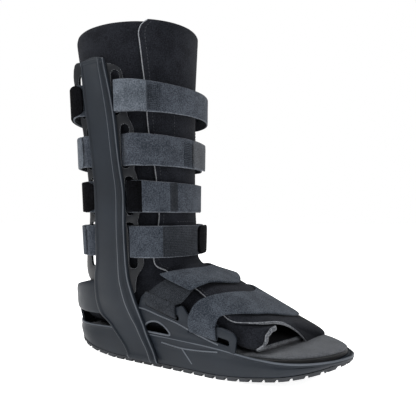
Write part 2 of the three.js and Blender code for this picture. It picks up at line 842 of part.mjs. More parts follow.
function withForefoot(row, section) {
  const column = (name) => readStraight(forefootRows, 'section', section, name);
  return {
    ...row,
    skew: column('skew'),
    lean: column('lean'),
    shift: column('shift'),
    squarer: column('squarer'),
    onFoot: THREE.MathUtils.smoothstep(section, lastCalfSection, firstFootSection),
  };
}

const linerSections = linerRows.map(withForefoot);

// The section at a place between two rows
function rowBetween(rows, index) {
  const low = Math.min(Math.floor(index), rows.length - 2);
  const share = index - low;
  const mixed = {};
  for (const column of Object.keys(rows[low])) {
    mixed[column] = rows[low][column] + (rows[low + 1][column] - rows[low][column]) * share;
  }
  return mixed;
}

function linerRing(row, inset) {
  const ring = [];
  for (let i = 0; i < linerSides; i += 1) {
    ring.push(linerPlace(row, 2 * Math.PI * i / linerSides, -inset));
  }
  return ring;
}

function liner() {
  const outer = linerSections.map((row) => linerRing(row, 0));
  const inner = linerSections.map((row, i) => linerRing(row, i < calfRowCount ? calfWall : footWall));
  return skin([...outer, ...inner.reverse()], 'loop');
}

// The front flap lies over the liner from the rim to the toes. Each row names the liner section it
// follows and the degrees at which the flap starts on the right and ends on the left
const flapRows = [
  { section: 0, start: -49, end: 80 },
  { section: 1, start: -57, end: 80 },
  { section: 2, start: -55, end: 80 },
  { section: 3, start: -52, end: 80 },
  { section: 4, start: -51, end: 80 },
  { section: 5, start: -46, end: 80 },
  { section: 6, start: -45, end: 80 },
  { section: 7, start: -52, end: 75 },
  { section: 8, start: -53, end: 70 },
  { section: 9, start: -44, end: 70 },
  { section: 10, start: -43, end: 70 },
  { section: 11, start: -42, end: 70 },
  { section: 12, start: -44, end: 71 },
  { section: 13, start: -48, end: 72 },
  { section: 14, start: -56, end: 74 },
  { section: 15, start: -66, end: 76 },
  { section: 16, start: -73, end: 78 },
  { section: 17, start: -56, end: 80 },
  { section: 18, start: -33, end: 84 },
];
const toeRows = [
  { frontAt: 0.832, frontUp: 0.127, backAt: 0.827, backUp: 0.0855, half: 0.64, square: 2.3 },
  { frontAt: 0.842, frontUp: 0.112, backAt: 0.838, backUp: 0.0865, half: 0.56, square: 2.2 },
];
const toeFlapTurns = [
  { start: 0, end: 74 },
  { start: 24, end: 62 },
];
const flapSteps = 10;

const degrees = (angle) => angle * Math.PI / 180;

function flapRing(row, start, end) {
  const line = (stand) => {
    const points = [];
    for (let i = 0; i <= flapSteps; i += 1) {
      points.push(linerPlace(row, degrees(start + (end - start) * i / flapSteps), stand));
    }
    return points;
  };
  return [...line(flapGap + flapThickness), ...line(flapGap).reverse()];
}

function frontFlap() {
  const rings = flapRows.map(({ section, start, end }) => flapRing(linerSections[section], start, end));
  const toeRings = toeRows.map((row, i) => {
    const { start, end } = toeFlapTurns[i];
    return flapRing(withForefoot(row, linerRows.length + i), start, end);
  });
  return skin([...rings, ...toeRings], 'strip');
}

// A band of cloth over rows of points that run from its rear edge to its front one, thickened evenly
// on both sides
function ribbon(rows, thickness) {
  const last = rows.length - 1;
  const rings = rows.map((row, i) => {
    const before = rows[Math.max(i - 1, 0)];
    const after = rows[Math.min(i + 1, last)];
    const lifts = row.map((point, lane) => {
      const edge = row[Math.min(lane + 1, row.length - 1)].clone().sub(row[Math.max(lane - 1, 0)]);
      const along = after[lane].clone().sub(before[lane]);
      return along.cross(edge).normalize().multiplyScalar(thickness / 2);
    });
    const upper = row.map((point, lane) => point.clone().add(lifts[lane]));
    const lower = row.map((point, lane) => point.clone().sub(lifts[lane]));
    return [...upper, ...lower.reverse()];
  });
  return skin(rings, 'strip');
}

const laneShares = [0, 0.5, 1];

// The bend of a foot strap through its slot in a wing plate, from its inner end out and upwards
const slotBend = [
  { out: -1, up: 2.2 },
  { out: -1, up: 0.75 },
  { out: -0.72, up: 0.05 },
  { out: 0, up: -0.25 },
  { out: 0.72, up: 0.05 },
  { out: 1, up: 0.75 },
  { out: 1, up: 2.3 },
];

function throughSlot(slot, startShare, endShare, side) {
  const reach = (wingThickness + footStrapThickness) / 2 + strapClearance;
  const place = (share, { out, up }) => {
    const along = slot.start + (slot.end - slot.start) * share;
    const height = slot.startUp + (slot.endUp - slot.startUp) * share;
    const wingShare = (along - wingStart.along) / (wingEnd.along - wingStart.along);
    const across = wingStart.across + (wingEnd.across - wingStart.across) * wingShare;
    const y = across * soleWidth / 2 - wingThickness / 2 + out * reach;
    return new THREE.Vector3(along * soleLength, side * y, height * bootHeight + up * wingSlotHeight);
  };
  return slotBend.map((bend) => (
    laneShares.map((lane) => place(startShare + (endShare - startShare) * lane, bend))
  ));
}

// The right and left sides of a foot strap over the liner, in degrees from the crest, with the liner
// sections that its rear and front edges cross
const overLiner = (rows, side) => rows.map(({ turn, rear, front, stand }) => (
  laneShares.map((lane) => {
    const section = rowBetween(linerSections, rear + (front - rear) * lane);
    return linerPlace(section, degrees(side * turn), stand);
  })
));

const anchorRows = [
  { turn: 78, rear: 11.2, front: 13.2, stand: 9.5 },
  { turn: 60, rear: 10.8, front: 13.4, stand: 8.4 },
  { turn: 46, rear: 10.6, front: 13.6, stand: 7.2 },
];
const instepRows = [
  { turn: 58, rear: 9.4, front: 12.6, stand: 12 },
  { turn: 48, rear: 9.5, front: 13.3, stand: 11 },
  { turn: 38, rear: 9.7, front: 13.9, stand: 10 },
  { turn: 26, rear: 10.3, front: 14.4, stand: 8.4 },
  { turn: 12, rear: 11.4, front: 14.8, stand: 7.4 },
  { turn: 0, rear: 11.9, front: 15, stand: 7.2 },
];
const toeStrapRows = [
  { turn: 80, rear: 13.9, front: 15.4, stand: 7.6 },
  { turn: 68, rear: 14.2, front: 15.9, stand: 7 },
  { turn: 54, rear: 14.7, front: 16.6, stand: 6.8 },
  { turn: 38, rear: 15.2, front: 17.2, stand: 6.6 },
  { turn: 18, rear: 15.6, front: 17.5, stand: 6.5 },
  { turn: 0, rear: 15.8, front: 17.6, stand: 6.5 },
];
const instepInSlot = { start: 0.05, end: 0.9 };
const toeInSlot = { start: 0.06, end: 0.68 };

function instepAnchor(side) {
  const bend = throughSlot(instepSlot, instepInSlot.start, instepInSlot.end, side);
  return ribbon([...bend, ...overLiner(anchorRows, side)], footStrapThickness);
}

function instepStrap() {
  const right = overLiner(instepRows, -1);
  const left = overLiner(instepRows, 1).reverse();
  return ribbon([...right, ...left.slice(1)], footStrapThickness);
}

function toeStrap() {
  const right = [...throughSlot(toeSlot, toeInSlot.start, toeInSlot.end, -1), ...overLiner(toeStrapRows, -1)];
  const left = [...throughSlot(toeSlot, toeInSlot.start, toeInSlot.end, 1), ...overLiner(toeStrapRows, 1)];
  return ribbon([...right, ...left.reverse().slice(1)], footStrapThickness);
}

// Builds a mesh of the boot
function piece(name, geometry, color, roughness) {
  const material = new THREE.MeshStandardMaterial({ color, roughness, metalness: 0 });
  const mesh = new THREE.Mesh(geometry, material);
  mesh.name = name;
  return mesh;
}

const shellGrey = 0x34383d;
const rubberGrey = 0x25272b;
const strapGrey = 0x3f4750;
const pileBlack = 0x0c0c0e;
const foamBlack = 0x1c1d21;
const insoleGrey = 0x6c6c6c;

const boot = new THREE.Group();
boot.add(
  piece('base_tray', baseTray(), shellGrey, 0.5),
  piece('outsole', outsole(), rubberGrey, 0.8),
  piece('footbed_foam', footbedFoam(), foamBlack, 0.9),
  piece('insole', insole(), insoleGrey, 0.8),
  piece('calf_frame', calfFrame(), shellGrey, 0.45),
  piece('right_side_plate', mirrored(sidePlate(0)), shellGrey, 0.45),
  piece('left_side_plate', sidePlate(leftPlateLead), shellGrey, 0.45),
  piece('liner', liner(), foamBlack, 0.9),
  piece('front_flap', frontFlap(), foamBlack, 0.9),
  piece('right_instep_anchor', instepAnchor(-1), strapGrey, 0.9),
  piece('left_instep_anchor', instepAnchor(1), strapGrey, 0.9),
  piece('instep_strap', instepStrap(), strapGrey, 0.9),
  piece('toe_strap', toeStrap(), strapGrey, 0.9),
);
for (const strap of calfStraps) {
  boot.add(piece(strap.name, calfStrap(strap), strapGrey, 0.9));
}
for (const layer of layers) {
  const isPad = layer.name.includes('pad');
  boot.add(piece(layer.name, strapLayer(layer), isPad ? pileBlack : strapGrey, 0.95));
}

// The boot stands on z = 0 with the middle of its box over the origin
const box = new THREE.Box3().setFromObject(boot);
const centre = box.getCenter(new THREE.Vector3());
boot.position.set(-centre.x, -centre.y, -box.min.z);
boot.updateMatrixWorld(true);

export default boot;
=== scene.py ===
# Dresses the medical walking boot: shell, liner, straps and sole in fine form with procedural materials
import bpy
import bmesh
import math
from collections import namedtuple
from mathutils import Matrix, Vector, noise


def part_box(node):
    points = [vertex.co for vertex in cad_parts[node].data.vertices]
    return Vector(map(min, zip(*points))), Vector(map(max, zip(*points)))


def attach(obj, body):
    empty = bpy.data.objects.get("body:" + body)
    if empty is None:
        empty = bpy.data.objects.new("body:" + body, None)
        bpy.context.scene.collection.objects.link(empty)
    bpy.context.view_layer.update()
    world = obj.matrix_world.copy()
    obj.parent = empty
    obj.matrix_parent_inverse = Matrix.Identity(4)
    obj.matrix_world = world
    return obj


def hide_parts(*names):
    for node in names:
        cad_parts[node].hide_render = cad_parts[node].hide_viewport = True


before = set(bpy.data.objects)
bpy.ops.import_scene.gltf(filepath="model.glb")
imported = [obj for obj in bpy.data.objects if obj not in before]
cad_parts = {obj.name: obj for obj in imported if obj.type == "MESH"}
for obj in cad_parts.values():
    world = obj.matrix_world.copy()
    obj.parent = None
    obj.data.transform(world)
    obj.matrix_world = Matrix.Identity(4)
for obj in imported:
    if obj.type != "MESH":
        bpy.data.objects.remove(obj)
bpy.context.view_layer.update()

# The part's own sizes, in millimetres, with X counted from the heel
SOLE_LENGTH = 350
SOLE_WIDTH = 128
BOOT_HEIGHT = 400
CALF_WIDTH = 134
HEEL_LIFT = 17
TOE_LIFT = 20
HEEL_ROCKER_END = 0.24
TOE_ROCKER_START = 0.6
OUTSOLE_THICKNESS = 5
TRAY_FLOOR = 3
TRAY_WALL = 4
TRAY_UNDERCUT = 3
OUTSOLE_INSET = 2.5
LUG_PITCH = 13
LUG_DEPTH = 3.2
LUG_GROOVE = 4
INSOLE_THICKNESS = 3
FOOTBED_INSET = 7
INSOLE_INSET = 7.5
FRAME_THICKNESS = 5
HEEL_CUP_THICKNESS = 4
PLATE_THICKNESS = 3
PLATE_SPREAD = 56.7
PLATE_LEAN = 0.0727
PLATE_RADIUS = 90
PLATE_RIM = 5
LEFT_PLATE_LEAD = 9
STRAP_WIDTH = 37
STRAP_THICKNESS = 2
STRAP_CLEARANCE = 0.6
SLOT_WIDTH = 10
LAYER_THICKNESS = 1.8
FOOT_STRAP_THICKNESS = 2.4
CALF_WALL = 6
FOOT_WALL = 5
FLAP_THICKNESS = 3
FLAP_GAP = 1.3
WING_THICKNESS = 3.5
WING_SLOT_HEIGHT = 6
TOUCH_GAP = 0.3
END_SHARE = 0.004

# The heel's place in the frame comes from the tray
HEEL_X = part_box("base_tray")[0][0] * 1000 - END_SHARE * SOLE_LENGTH


def to_frame(point):
    return Vector(((point[0] + HEEL_X) / 1000, point[1] / 1000, point[2] / 1000))


def mix(start, end, share):
    return start + (end - start) * share


def spread(start, end, steps):
    """Evenly spaced values from start to end."""
    return [start + (end - start) * i / steps for i in range(steps + 1)]


def read_table(rows, at, column, straight=False):
    """Reads a column between its rows, on a smooth curve or straight; the first column is the key."""
    if at <= rows[0][0]:
        return rows[0][column]
    if at >= rows[-1][0]:
        return rows[-1][column]
    last = len(rows) - 1
    low = 0
    while rows[low + 1][0] < at:
        low += 1
    span = rows[low + 1][0] - rows[low][0]
    t = (at - rows[low][0]) / span
    start = rows[low][column]
    end = rows[low + 1][column]
    if straight:
        return mix(start, end, t)

    def slope(i):
        before = rows[max(i - 1, 0)]
        after = rows[min(i + 1, last)]
        return (after[column] - before[column]) / (after[0] - before[0])

    bulge_start = t * (1 - t) ** 2 * span * slope(low)
    bulge_end = t * t * (1 - t) * span * slope(low + 1)
    return mix(start, end, t * t * (3 - 2 * t)) + bulge_start - bulge_end


def read_row(rows, at, straight=False):
    return [read_table(rows, at, column, straight) for column in range(1, len(rows[0]))]


def smoothstep(value, low, high):
    t = min(1, max(0, (value - low) / (high - low)))
    return t * t * (3 - 2 * t)


# Heights and widths along the sole
RIM_ROWS = [
    (0, 0.092), (0.2, 0.095), (0.4, 0.093), (0.63, 0.085), (0.75, 0.0735), (0.85, 0.07), (1, 0.069),
]
WIDTH_ROWS = [(0, 0.82), (0.15, 0.82), (0.33, 0.875), (0.5, 0.935), (0.68, 1), (0.8, 0.985), (1, 0.96)]
INSOLE_ROWS = [
    (0, 0.0775), (0.1, 0.0745), (0.28, 0.068), (0.48, 0.068),
    (0.65, 0.0725), (0.76, 0.078), (0.9, 0.083), (1, 0.087),
]
HEEL_ROUND = 0.15
TOE_ROUND = 0.2
TOE_SQUARE = (1.8, 0.714)
HEEL_ROCKER_CURVE = 1.6
TOE_ROCKER_CURVE = 1.5
SOLE_STEPS = 90


def rocker_height(share):
    if share < HEEL_ROCKER_END:
        return HEEL_LIFT * ((HEEL_ROCKER_END - share) / HEEL_ROCKER_END) ** HEEL_ROCKER_CURVE
    if share > TOE_ROCKER_START:
        return TOE_LIFT * ((share - TOE_ROCKER_START) / (1 - TOE_ROCKER_START)) ** TOE_ROCKER_CURVE
    return 0


def rim_height(share):
    return BOOT_HEIGHT * read_table(RIM_ROWS, share, 1)


def sole_half_width(share):
    heel_share = max(0, 1 - share / HEEL_ROUND)
    toe_share = max(0, (share - (1 - TOE_ROUND)) / TOE_ROUND)
    heel = math.sqrt(max(0, 1 - heel_share ** 2))
    toe = max(0, 1 - toe_share ** TOE_SQUARE[0]) ** TOE_SQUARE[1]
    return SOLE_WIDTH / 2 * read_table(WIDTH_ROWS, share, 1) * heel * toe


def insole_top(share):
    return BOOT_HEIGHT * read_table(INSOLE_ROWS, share, 1)


def tray_bottom(share):
    return rocker_height(share) + OUTSOLE_THICKNESS


def tray_inside(share):
    return tray_bottom(share) + TRAY_FLOOR


def sole_ring(inset, height_at):
    """A closed ring round the sole, set in from its edge, with its points closer at heel and toe."""
    half = SOLE_WIDTH / 2
    near = []
    for i in range(SOLE_STEPS + 1):
        share = mix(END_SHARE, 1 - END_SHARE, (1 - math.cos(math.pi * i / SOLE_STEPS)) / 2)
        x = inset + (SOLE_LENGTH - 2 * inset) * share
        y = -sole_half_width(share) * (half - inset) / half
        near.append(Vector((x, y, height_at(share))))
    return near + [Vector((p.x, -p.y, p.z)) for p in reversed(near)]


# Node materials
def new_material(name):
    material = bpy.data.materials.new(name)
    material.use_nodes = True
    tree = material.node_tree
    shader = tree.nodes["Principled BSDF"]
    return material, tree, shader


def link(tree, output, socket):
    tree.links.new(output, socket)


def add_noise(tree, scale, detail):
    node = tree.nodes.new("ShaderNodeTexNoise")
    node.inputs["Scale"].default_value = scale
    node.inputs["Detail"].default_value = detail
    coords = tree.nodes.new("ShaderNodeTexCoord")
    link(tree, coords.outputs["Object"], node.inputs["Vector"])
    return node.outputs["Fac"]


def add_ramp(tree, value, stops):
    node = tree.nodes.new("ShaderNodeValToRGB")
    ramp = node.color_ramp
    while len(ramp.elements) < len(stops):
        ramp.elements.new(0.5)
    for element, (place, colour) in zip(ramp.elements, stops):
        element.position = place
        element.color = (*colour, 1)
    link(tree, value, node.inputs["Fac"])
    return node.outputs["Color"]


def add_math(tree, operation, first, second):
    node = tree.nodes.new("ShaderNodeMath")
    node.operation = operation
    for socket, value in zip(node.inputs, (first, second)):
        if isinstance(value, (int, float)):
            socket.default_value = value
        else:
            link(tree, value, socket)
    return node.outputs["Value"]


def add_bump(tree, shader, height, distance, strength):
    node = tree.nodes.new("ShaderNodeBump")
    node.inputs["Strength"].default_value = strength
    node.inputs["Distance"].default_value = distance
    link(tree, height, node.inputs["Height"])
    link(tree, node.outputs["Normal"], shader.inputs["Normal"])


def add_wave(tree, direction, scale):
    uv = tree.nodes.new("ShaderNodeUVMap")
    uv.uv_map = "cloth"
    node = tree.nodes.new("ShaderNodeTexWave")
    node.wave_type = "BANDS"
    node.bands_direction = direction
    node.inputs["Scale"].default_value = scale
    link(tree, uv.outputs["UV"], node.inputs["Vector"])
    return node.outputs["Fac"]


PLASTIC_TONES = (0.82, 1.22)
PLASTIC_SMEAR = 0.22


def plastic_material(name, colour, roughness):
    """Satin plastic with broad tones, smears in its gloss and a fine grain."""
    material, tree, shader = new_material(name)
    shader.inputs["Specular IOR Level"].default_value = 0.2
    dark, light = [tuple(c * tone for c in colour) for tone in PLASTIC_TONES]
    tones = add_ramp(tree, add_noise(tree, 22, 4), [(0.3, dark), (0.72, light)])
    link(tree, tones, shader.inputs["Base Color"])
    rough = add_math(tree, "MULTIPLY_ADD", add_noise(tree, 90, 5), PLASTIC_SMEAR)
    rough.node.inputs[2].default_value = roughness - PLASTIC_SMEAR / 2
    link(tree, rough, shader.inputs["Roughness"])
    add_bump(tree, shader, add_noise(tree, 1600, 2), 0.00012, 0.5)
    return material


WEAVE_TONE = 0.16
WEAVE_DEPTH = 0.8


def cloth_material(name, dark, light, sheen, weave=None, fuzz_scale=820, fuzz_depth=0.0005):
    """Cloth with a fuzzy grain; weave adds rows and columns of threads so many to the metre."""
    material, tree, shader = new_material(name)
    broad = add_noise(tree, 60, 4)
    fine = add_noise(tree, fuzz_scale, 6)
    mixed = add_math(tree, "MULTIPLY_ADD", broad, 0.3)
    link(tree, add_math(tree, "MULTIPLY", fine, 0.7), mixed.node.inputs[2])
    height = fine
    if weave:
        threads = add_math(tree, "MULTIPLY", add_wave(tree, "X", weave[0]), add_wave(tree, "Y", weave[1]))
        toned = add_math(tree, "MULTIPLY_ADD", threads, WEAVE_TONE)
        link(tree, add_math(tree, "SUBTRACT", mixed, 0.06), toned.node.inputs[2])
        mixed = toned
        height = add_math(tree, "ADD", add_math(tree, "MULTIPLY", threads, WEAVE_DEPTH), fine)
    link(tree, add_ramp(tree, mixed, [(0.4, dark), (0.6, light)]), shader.inputs["Base Color"])
    for socket, value in (("Roughness", 0.95), ("Specular IOR Level", 0.04), ("Sheen Weight", sheen),
                          ("Sheen Roughness", 0.5)):
        shader.inputs[socket].default_value = value
    add_bump(tree, shader, height, fuzz_depth, 0.9)
    return material


def rubber_material(name, dark, light):
    material, tree, shader = new_material(name)
    tones = add_ramp(tree, add_noise(tree, 40, 4), [(0.3, dark), (0.7, light)])
    link(tree, tones, shader.inputs["Base Color"])
    shader.inputs["Roughness"].default_value = 0.75
    add_bump(tree, shader, add_noise(tree, 700, 4), 0.0003, 0.6)
    return material


SHELL = plastic_material("shell_plastic", (0.0095, 0.0128, 0.018), 0.46)
SHELL_DARK = plastic_material("plate_plastic", (0.007, 0.008, 0.01), 0.4)
# The next two plastics are lighter tones laid on rims, ridges, beads and bevels: painted highlights along
# the shell's and plates' edges
HIGHLIGHT_PLASTIC = plastic_material("shell_painted_highlight", (0.075, 0.084, 0.098), 0.34)
PLATE_HIGHLIGHT_PLASTIC = plastic_material("plate_painted_highlight", (0.24, 0.255, 0.275), 0.3)
LOOP = cloth_material("loop_webbing", (0.018, 0.022, 0.029), (0.07, 0.08, 0.098), 0.06, (210, 210))
TAB = cloth_material("loop_tab", (0.036, 0.043, 0.053), (0.105, 0.12, 0.142), 0.08)
TAB_DARK = cloth_material("loop_tab_dark", (0.016, 0.0195, 0.026), (0.056, 0.065, 0.08), 0.06)
FOOT_LOOP = cloth_material("foot_webbing", (0.016, 0.02, 0.027), (0.062, 0.072, 0.088), 0.06, (210, 210))
WOVEN = cloth_material("woven_band", (0.012, 0.014, 0.017), (0.034, 0.038, 0.046), 0.04, (320, 160))
PALE = cloth_material("pale_band", (0.03, 0.033, 0.038), (0.085, 0.09, 0.1), 0.06, (260, 260))
PILE = cloth_material("black_pile", (0.0002, 0.0002, 0.0003), (0.0035, 0.0037, 0.005), 0, None, 900, 0.0016)
FOAM_CLOTH = cloth_material("liner_cloth", (0.0055, 0.006, 0.008), (0.0145, 0.016, 0.0205), 0.03)
BINDING = cloth_material("binding_tape", (0.15, 0.157, 0.17), (0.33, 0.345, 0.37), 0.08, (420, 60))
BRAID = cloth_material("binding_braid", (0.06, 0.065, 0.073), (0.24, 0.25, 0.27), 0.08, (420, 60))
FRAY = cloth_material("strap_edge", (0.035, 0.04, 0.049), (0.12, 0.133, 0.155), 0.08)
THREAD = cloth_material("thread", (0.02, 0.022, 0.026), (0.05, 0.053, 0.06), 0.05)
THREAD_DARK = cloth_material("thread_dark", (0.008, 0.01, 0.013), (0.022, 0.026, 0.033), 0.02)
INSOLE_TOP = cloth_material("insole_cloth", (0.07, 0.074, 0.082), (0.115, 0.121, 0.132), 0.08, (500, 500))
FOAM = rubber_material("foam_side", (0.006, 0.0065, 0.0075), (0.018, 0.019, 0.021))
RUBBER = rubber_material("outsole_rubber", (0.009, 0.0105, 0.013), (0.027, 0.03, 0.036))


# Meshes from rings of points
def finish_piece(name, mesh, material, nodes, smooth_angle=40):
    piece = bpy.data.objects.new(name, mesh)
    bpy.context.scene.collection.objects.link(piece)
    mesh.materials.append(material)
    mesh.shade_smooth()
    mesh.set_sharp_from_angle(angle=math.radians(smooth_angle))
    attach(piece, "root")
    if nodes:
        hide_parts(*nodes)
    return piece


def recalculated(mesh):
    work = bmesh.new()
    work.from_mesh(mesh)
    bmesh.ops.remove_doubles(work, verts=work.verts, dist=1e-6)
    bmesh.ops.recalc_face_normals(work, faces=work.faces)
    work.to_mesh(mesh)
    work.free()
    return mesh


def mesh_from(name, points, faces):
    """A mesh from points in the part's millimetres."""
    mesh = bpy.data.meshes.new(name)
    mesh.from_pydata([to_frame(p) for p in points], [], faces)
    mesh.uv_layers.new(name="cloth")
    return mesh


def skin_faces(rings, count, closed=False):
    """The faces of a skin over so many rings of count points, with a cap on each open end."""
    faces = []
    for band in range(rings if closed else rings - 1):
        near = band * count
        far = (band + 1) % rings * count
        for i in range(count):
            after = (i + 1) % count
            faces.append((near + i, near + after, far + after, far + i))
    if not closed:
        faces.append(tuple(reversed(range(count))))
        faces.append(tuple(range((rings - 1) * count, rings * count)))
    return faces


def run_lengths(points):
    """The way round a closed line at each of its points and back at its start, in metres."""
    lengths = [0.0]
    for i in range(1, len(points) + 1):
        lengths.append(lengths[-1] + (points[i % len(points)] - points[i - 1]).length / 1000)
    return lengths


def ring_mesh(name, rings, closed=False, edge_columns=()):
    """A skin over closed rings of points, with cloth coordinates in metres."""
    count = len(rings[0])
    faces = skin_faces(len(rings), count, closed)
    mesh = mesh_from(name, [p for ring in rings for p in ring], faces)
    layer = mesh.uv_layers["cloth"]
    lengths = run_lengths([ring[0] for ring in rings])
    around = run_lengths(rings[0])
    for polygon in mesh.polygons[:len(faces) - (0 if closed else 2)]:
        band, i = divmod(polygon.index, count)
        polygon.material_index = 1 if i in edge_columns else 0
        corners = ((band, i), (band, i + 1), (band + 1, i + 1), (band + 1, i))
        for loop, (row, column) in zip(polygon.loop_indices, corners):
            layer.data[loop].uv = (lengths[row], around[column])
    return recalculated(mesh)


EDGE_ANGLES = (0.8, math.pi / 2, 2.34)
# The rings that close a slab's ends: how thick and how far out, in shares of half its thickness
END_RINGS = ((0.05, 1), (0.7, 0.7))


def slab_mesh(name, rows, thickness, closed=False, frayed=False):
    """A cloth slab over a grid of middle points, with all its edges rounded."""
    count = len(rows)
    lanes = len(rows[0])
    half = thickness / 2

    def ring_at(i, scale=1, push=0):
        """Both faces and both rounded edges at one row."""
        before = rows[i - 1 if closed else max(i - 1, 0)]
        row = rows[i]
        after = rows[(i + 1) % count if closed else min(i + 1, count - 1)]
        turn = half * scale
        upper = []
        lower = []
        for lane, place in enumerate(row):
            edge = row[min(lane + 1, lanes - 1)] - row[max(lane - 1, 0)]
            along = after[lane] - before[lane]
            lift = along.cross(edge).normalized() * turn
            middle = place + along.normalized() * push
            upper.append(middle + lift)
            lower.append(middle - lift)

        def edge_round(lane, beside, angles):
            middle = (upper[lane] + lower[lane]) / 2
            lift = (upper[lane] - lower[lane]) / 2
            out = (row[lane] - row[beside]).normalized() * turn
            return [middle + lift * math.cos(angle) + out * math.sin(angle) for angle in angles]

        high = edge_round(-1, -2, EDGE_ANGLES)
        return upper + high + lower[::-1] + edge_round(0, 1, EDGE_ANGLES[::-1])

    rings = [ring_at(i) for i in range(count)]
    if not closed:
        start = [ring_at(0, scale, -half * push) for scale, push in END_RINGS]
        end = [ring_at(count - 1, scale, half * push) for scale, push in END_RINGS[::-1]]
        rings = start + rings + end
    edge_columns = (lanes, lanes + 1, lanes * 2 + 4, lanes * 2 + 5) if frayed else ()
    return ring_mesh(name, rings, closed, edge_columns)


def joined(name, meshes):
    """One mesh from several."""
    work = bmesh.new()
    for mesh in meshes:
        work.from_mesh(mesh)
    whole = bpy.data.meshes.new(name)
    work.to_mesh(whole)
    work.free()
    return whole


TUBE_SIDES = 8


def tube_mesh(name, points, radius, flat, outs, closed=False):
    """A tube along points; flat scales it along the directions in outs."""
    last = len(points) - 1
    rings = []
    for i, point in enumerate(points):
        before = points[i - 1 if closed else max(i - 1, 0)]
        after = points[(i + 1) % len(points) if closed else min(i + 1, last)]
        along = (after - before).normalized()
        side = along.cross(outs[i]).normalized()
        up = side.cross(along).normalized() * flat
        angles = spread(0, 2 * math.pi, TUBE_SIDES)[:-1]
        rings.append([point + (side * math.cos(angle) + up * math.sin(angle)) * radius for angle in angles])
    return ring_mesh(name, rings, closed)


def tube_piece(name, points, radius, flat, outs, material, closed=False):
    return finish_piece(name, tube_mesh(name, points, radius, flat, outs, closed), material, [])


def resampled(points, step):
    """The same line with points a step apart."""
    made = [points[0].copy()]
    left = step
    for a, b in zip(points, points[1:]):
        length = (b - a).length
        travelled = 0.0
        while length - travelled >= left:
            travelled += left
            made.append(a.lerp(b, travelled / length))
            left = step
        left -= length - travelled
    return made


def curved(points, steps=8):
    """A smooth line through the points."""
    made = []
    last = len(points) - 1
    for i in range(last):
        a = points[max(i - 1, 0)]
        b = points[i]
        c = points[i + 1]
        d = points[min(i + 2, last)]
        for k in range(steps):
            t = k / steps
            made.append(0.5 * (
                2 * b + (c - a) * t + (2 * a - 5 * b + 4 * c - d) * t * t + (3 * b - a - 3 * c + d) * t ** 3
            ))
    made.append(points[-1].copy())
    return made


STITCH_SIDES = 6
# Share along, width and rise of a thread, the last two in shares of its radius
STITCH_PROFILE = ((0.0, 0.25, -0.3), (0.2, 0.9, 0.1), (0.8, 0.9, 0.1), (1.0, 0.25, -0.3))


def stitch_piece(name, lines, material, length=2.6, pitch=4.0, radius=0.38):
    """Short threads along lines; each line is a list of (point, outward) pairs."""
    points = []
    faces = []
    thread_faces = skin_faces(len(STITCH_PROFILE), STITCH_SIDES)
    for line in lines:
        spots = resampled([p for p, out in line], pitch)
        for i in range(len(spots) - 1):
            along = (spots[i + 1] - spots[i]).normalized()
            out = line[min(i * len(line) // len(spots), len(line) - 1)][1]
            side = along.cross(out).normalized()
            faces += [tuple(len(points) + corner for corner in face) for face in thread_faces]
            for share, wide, rise in STITCH_PROFILE:
                centre = spots[i] + along * length * share + out * radius * rise
                for angle in spread(0, 2 * math.pi, STITCH_SIDES)[:-1]:
                    offset = side * math.cos(angle) + out * math.sin(angle)
                    points.append(centre + offset * radius * wide)
    finish_piece(name, recalculated(mesh_from(name, points, faces)), material, [])


# Camera at the photograph's place
CAMERA_PLACE = (401.9, -466.4, 174.7)
VIEW_TURN = math.radians(25.46)
VIEW_PITCH = 0.012
SENSOR_WIDTH = 36
FOCAL_SHARE = 423.9 / 416
camera_data = bpy.data.cameras.new("camera")
camera_data.sensor_width = SENSOR_WIDTH
camera_data.lens = SENSOR_WIDTH * FOCAL_SHARE
camera = bpy.data.objects.new("camera", camera_data)
bpy.context.scene.collection.objects.link(camera)
camera.location = to_frame(CAMERA_PLACE)
look = Vector((
    -math.sin(VIEW_TURN) * math.cos(VIEW_PITCH),
    math.cos(VIEW_TURN) * math.cos(VIEW_PITCH),
    math.sin(VIEW_PITCH),
))
camera.rotation_euler = look.to_track_quat("-Z", "Y").to_euler()
bpy.context.scene.camera = camera


# Outsole with lugs
def disc_mesh(name, rows, highlight_bands=()):
    """A closed form over rings round the sole; each row has a ring's inset and its height function."""
    rings = [sole_ring(inset, height_at) for inset, height_at in rows]
    count = len(rings[0])
    faces = skin_faces(len(rings), count)[:-2]
    for first in (0, (len(rings) - 1) * count):
        for i in range(count // 2 - 1):
            faces.append((first + i, first + i + 1, first + count - 2 - i, first + count - 1 - i))
    mesh = mesh_from(name, [p for ring in rings for p in ring], faces)
    for polygon in mesh.polygons:
        # Bands listed here take the second material, a lighter plastic that paints a highlight
        polygon.material_index = 1 if polygon.index // count in highlight_bands else 0
    layer = mesh.uv_layers["cloth"]
    for loop in mesh.loops:
        layer.data[loop.index].uv = mesh.vertices[loop.vertex_index].co.xy
    return recalculated(mesh)


def apply_modifiers(piece):
    depsgraph = bpy.context.evaluated_depsgraph_get()
    baked = bpy.data.meshes.new_from_object(piece.evaluated_get(depsgraph))
    piece.modifiers.clear()
    piece.data = baked


def rounded(piece, width, segments=2, angle=35, edge=None):
    modifier = piece.modifiers.new("rounding", "BEVEL")
    modifier.width = width / 1000
    modifier.segments = segments
    modifier.limit_method = "ANGLE"
    modifier.angle_limit = math.radians(angle)
    # An edge material, when given, colours the bevel's faces: a painted highlight
    if edge:
        piece.data.materials.append(edge)
        modifier.material = 1
    apply_modifiers(piece)
    piece.data.shade_smooth()
    piece.data.set_sharp_from_angle(angle=math.radians(50))


def sole_slope(share, reach):
    rise = rocker_height(share + reach) - rocker_height(share - reach)
    return math.atan(rise / (2 * reach * SOLE_LENGTH))


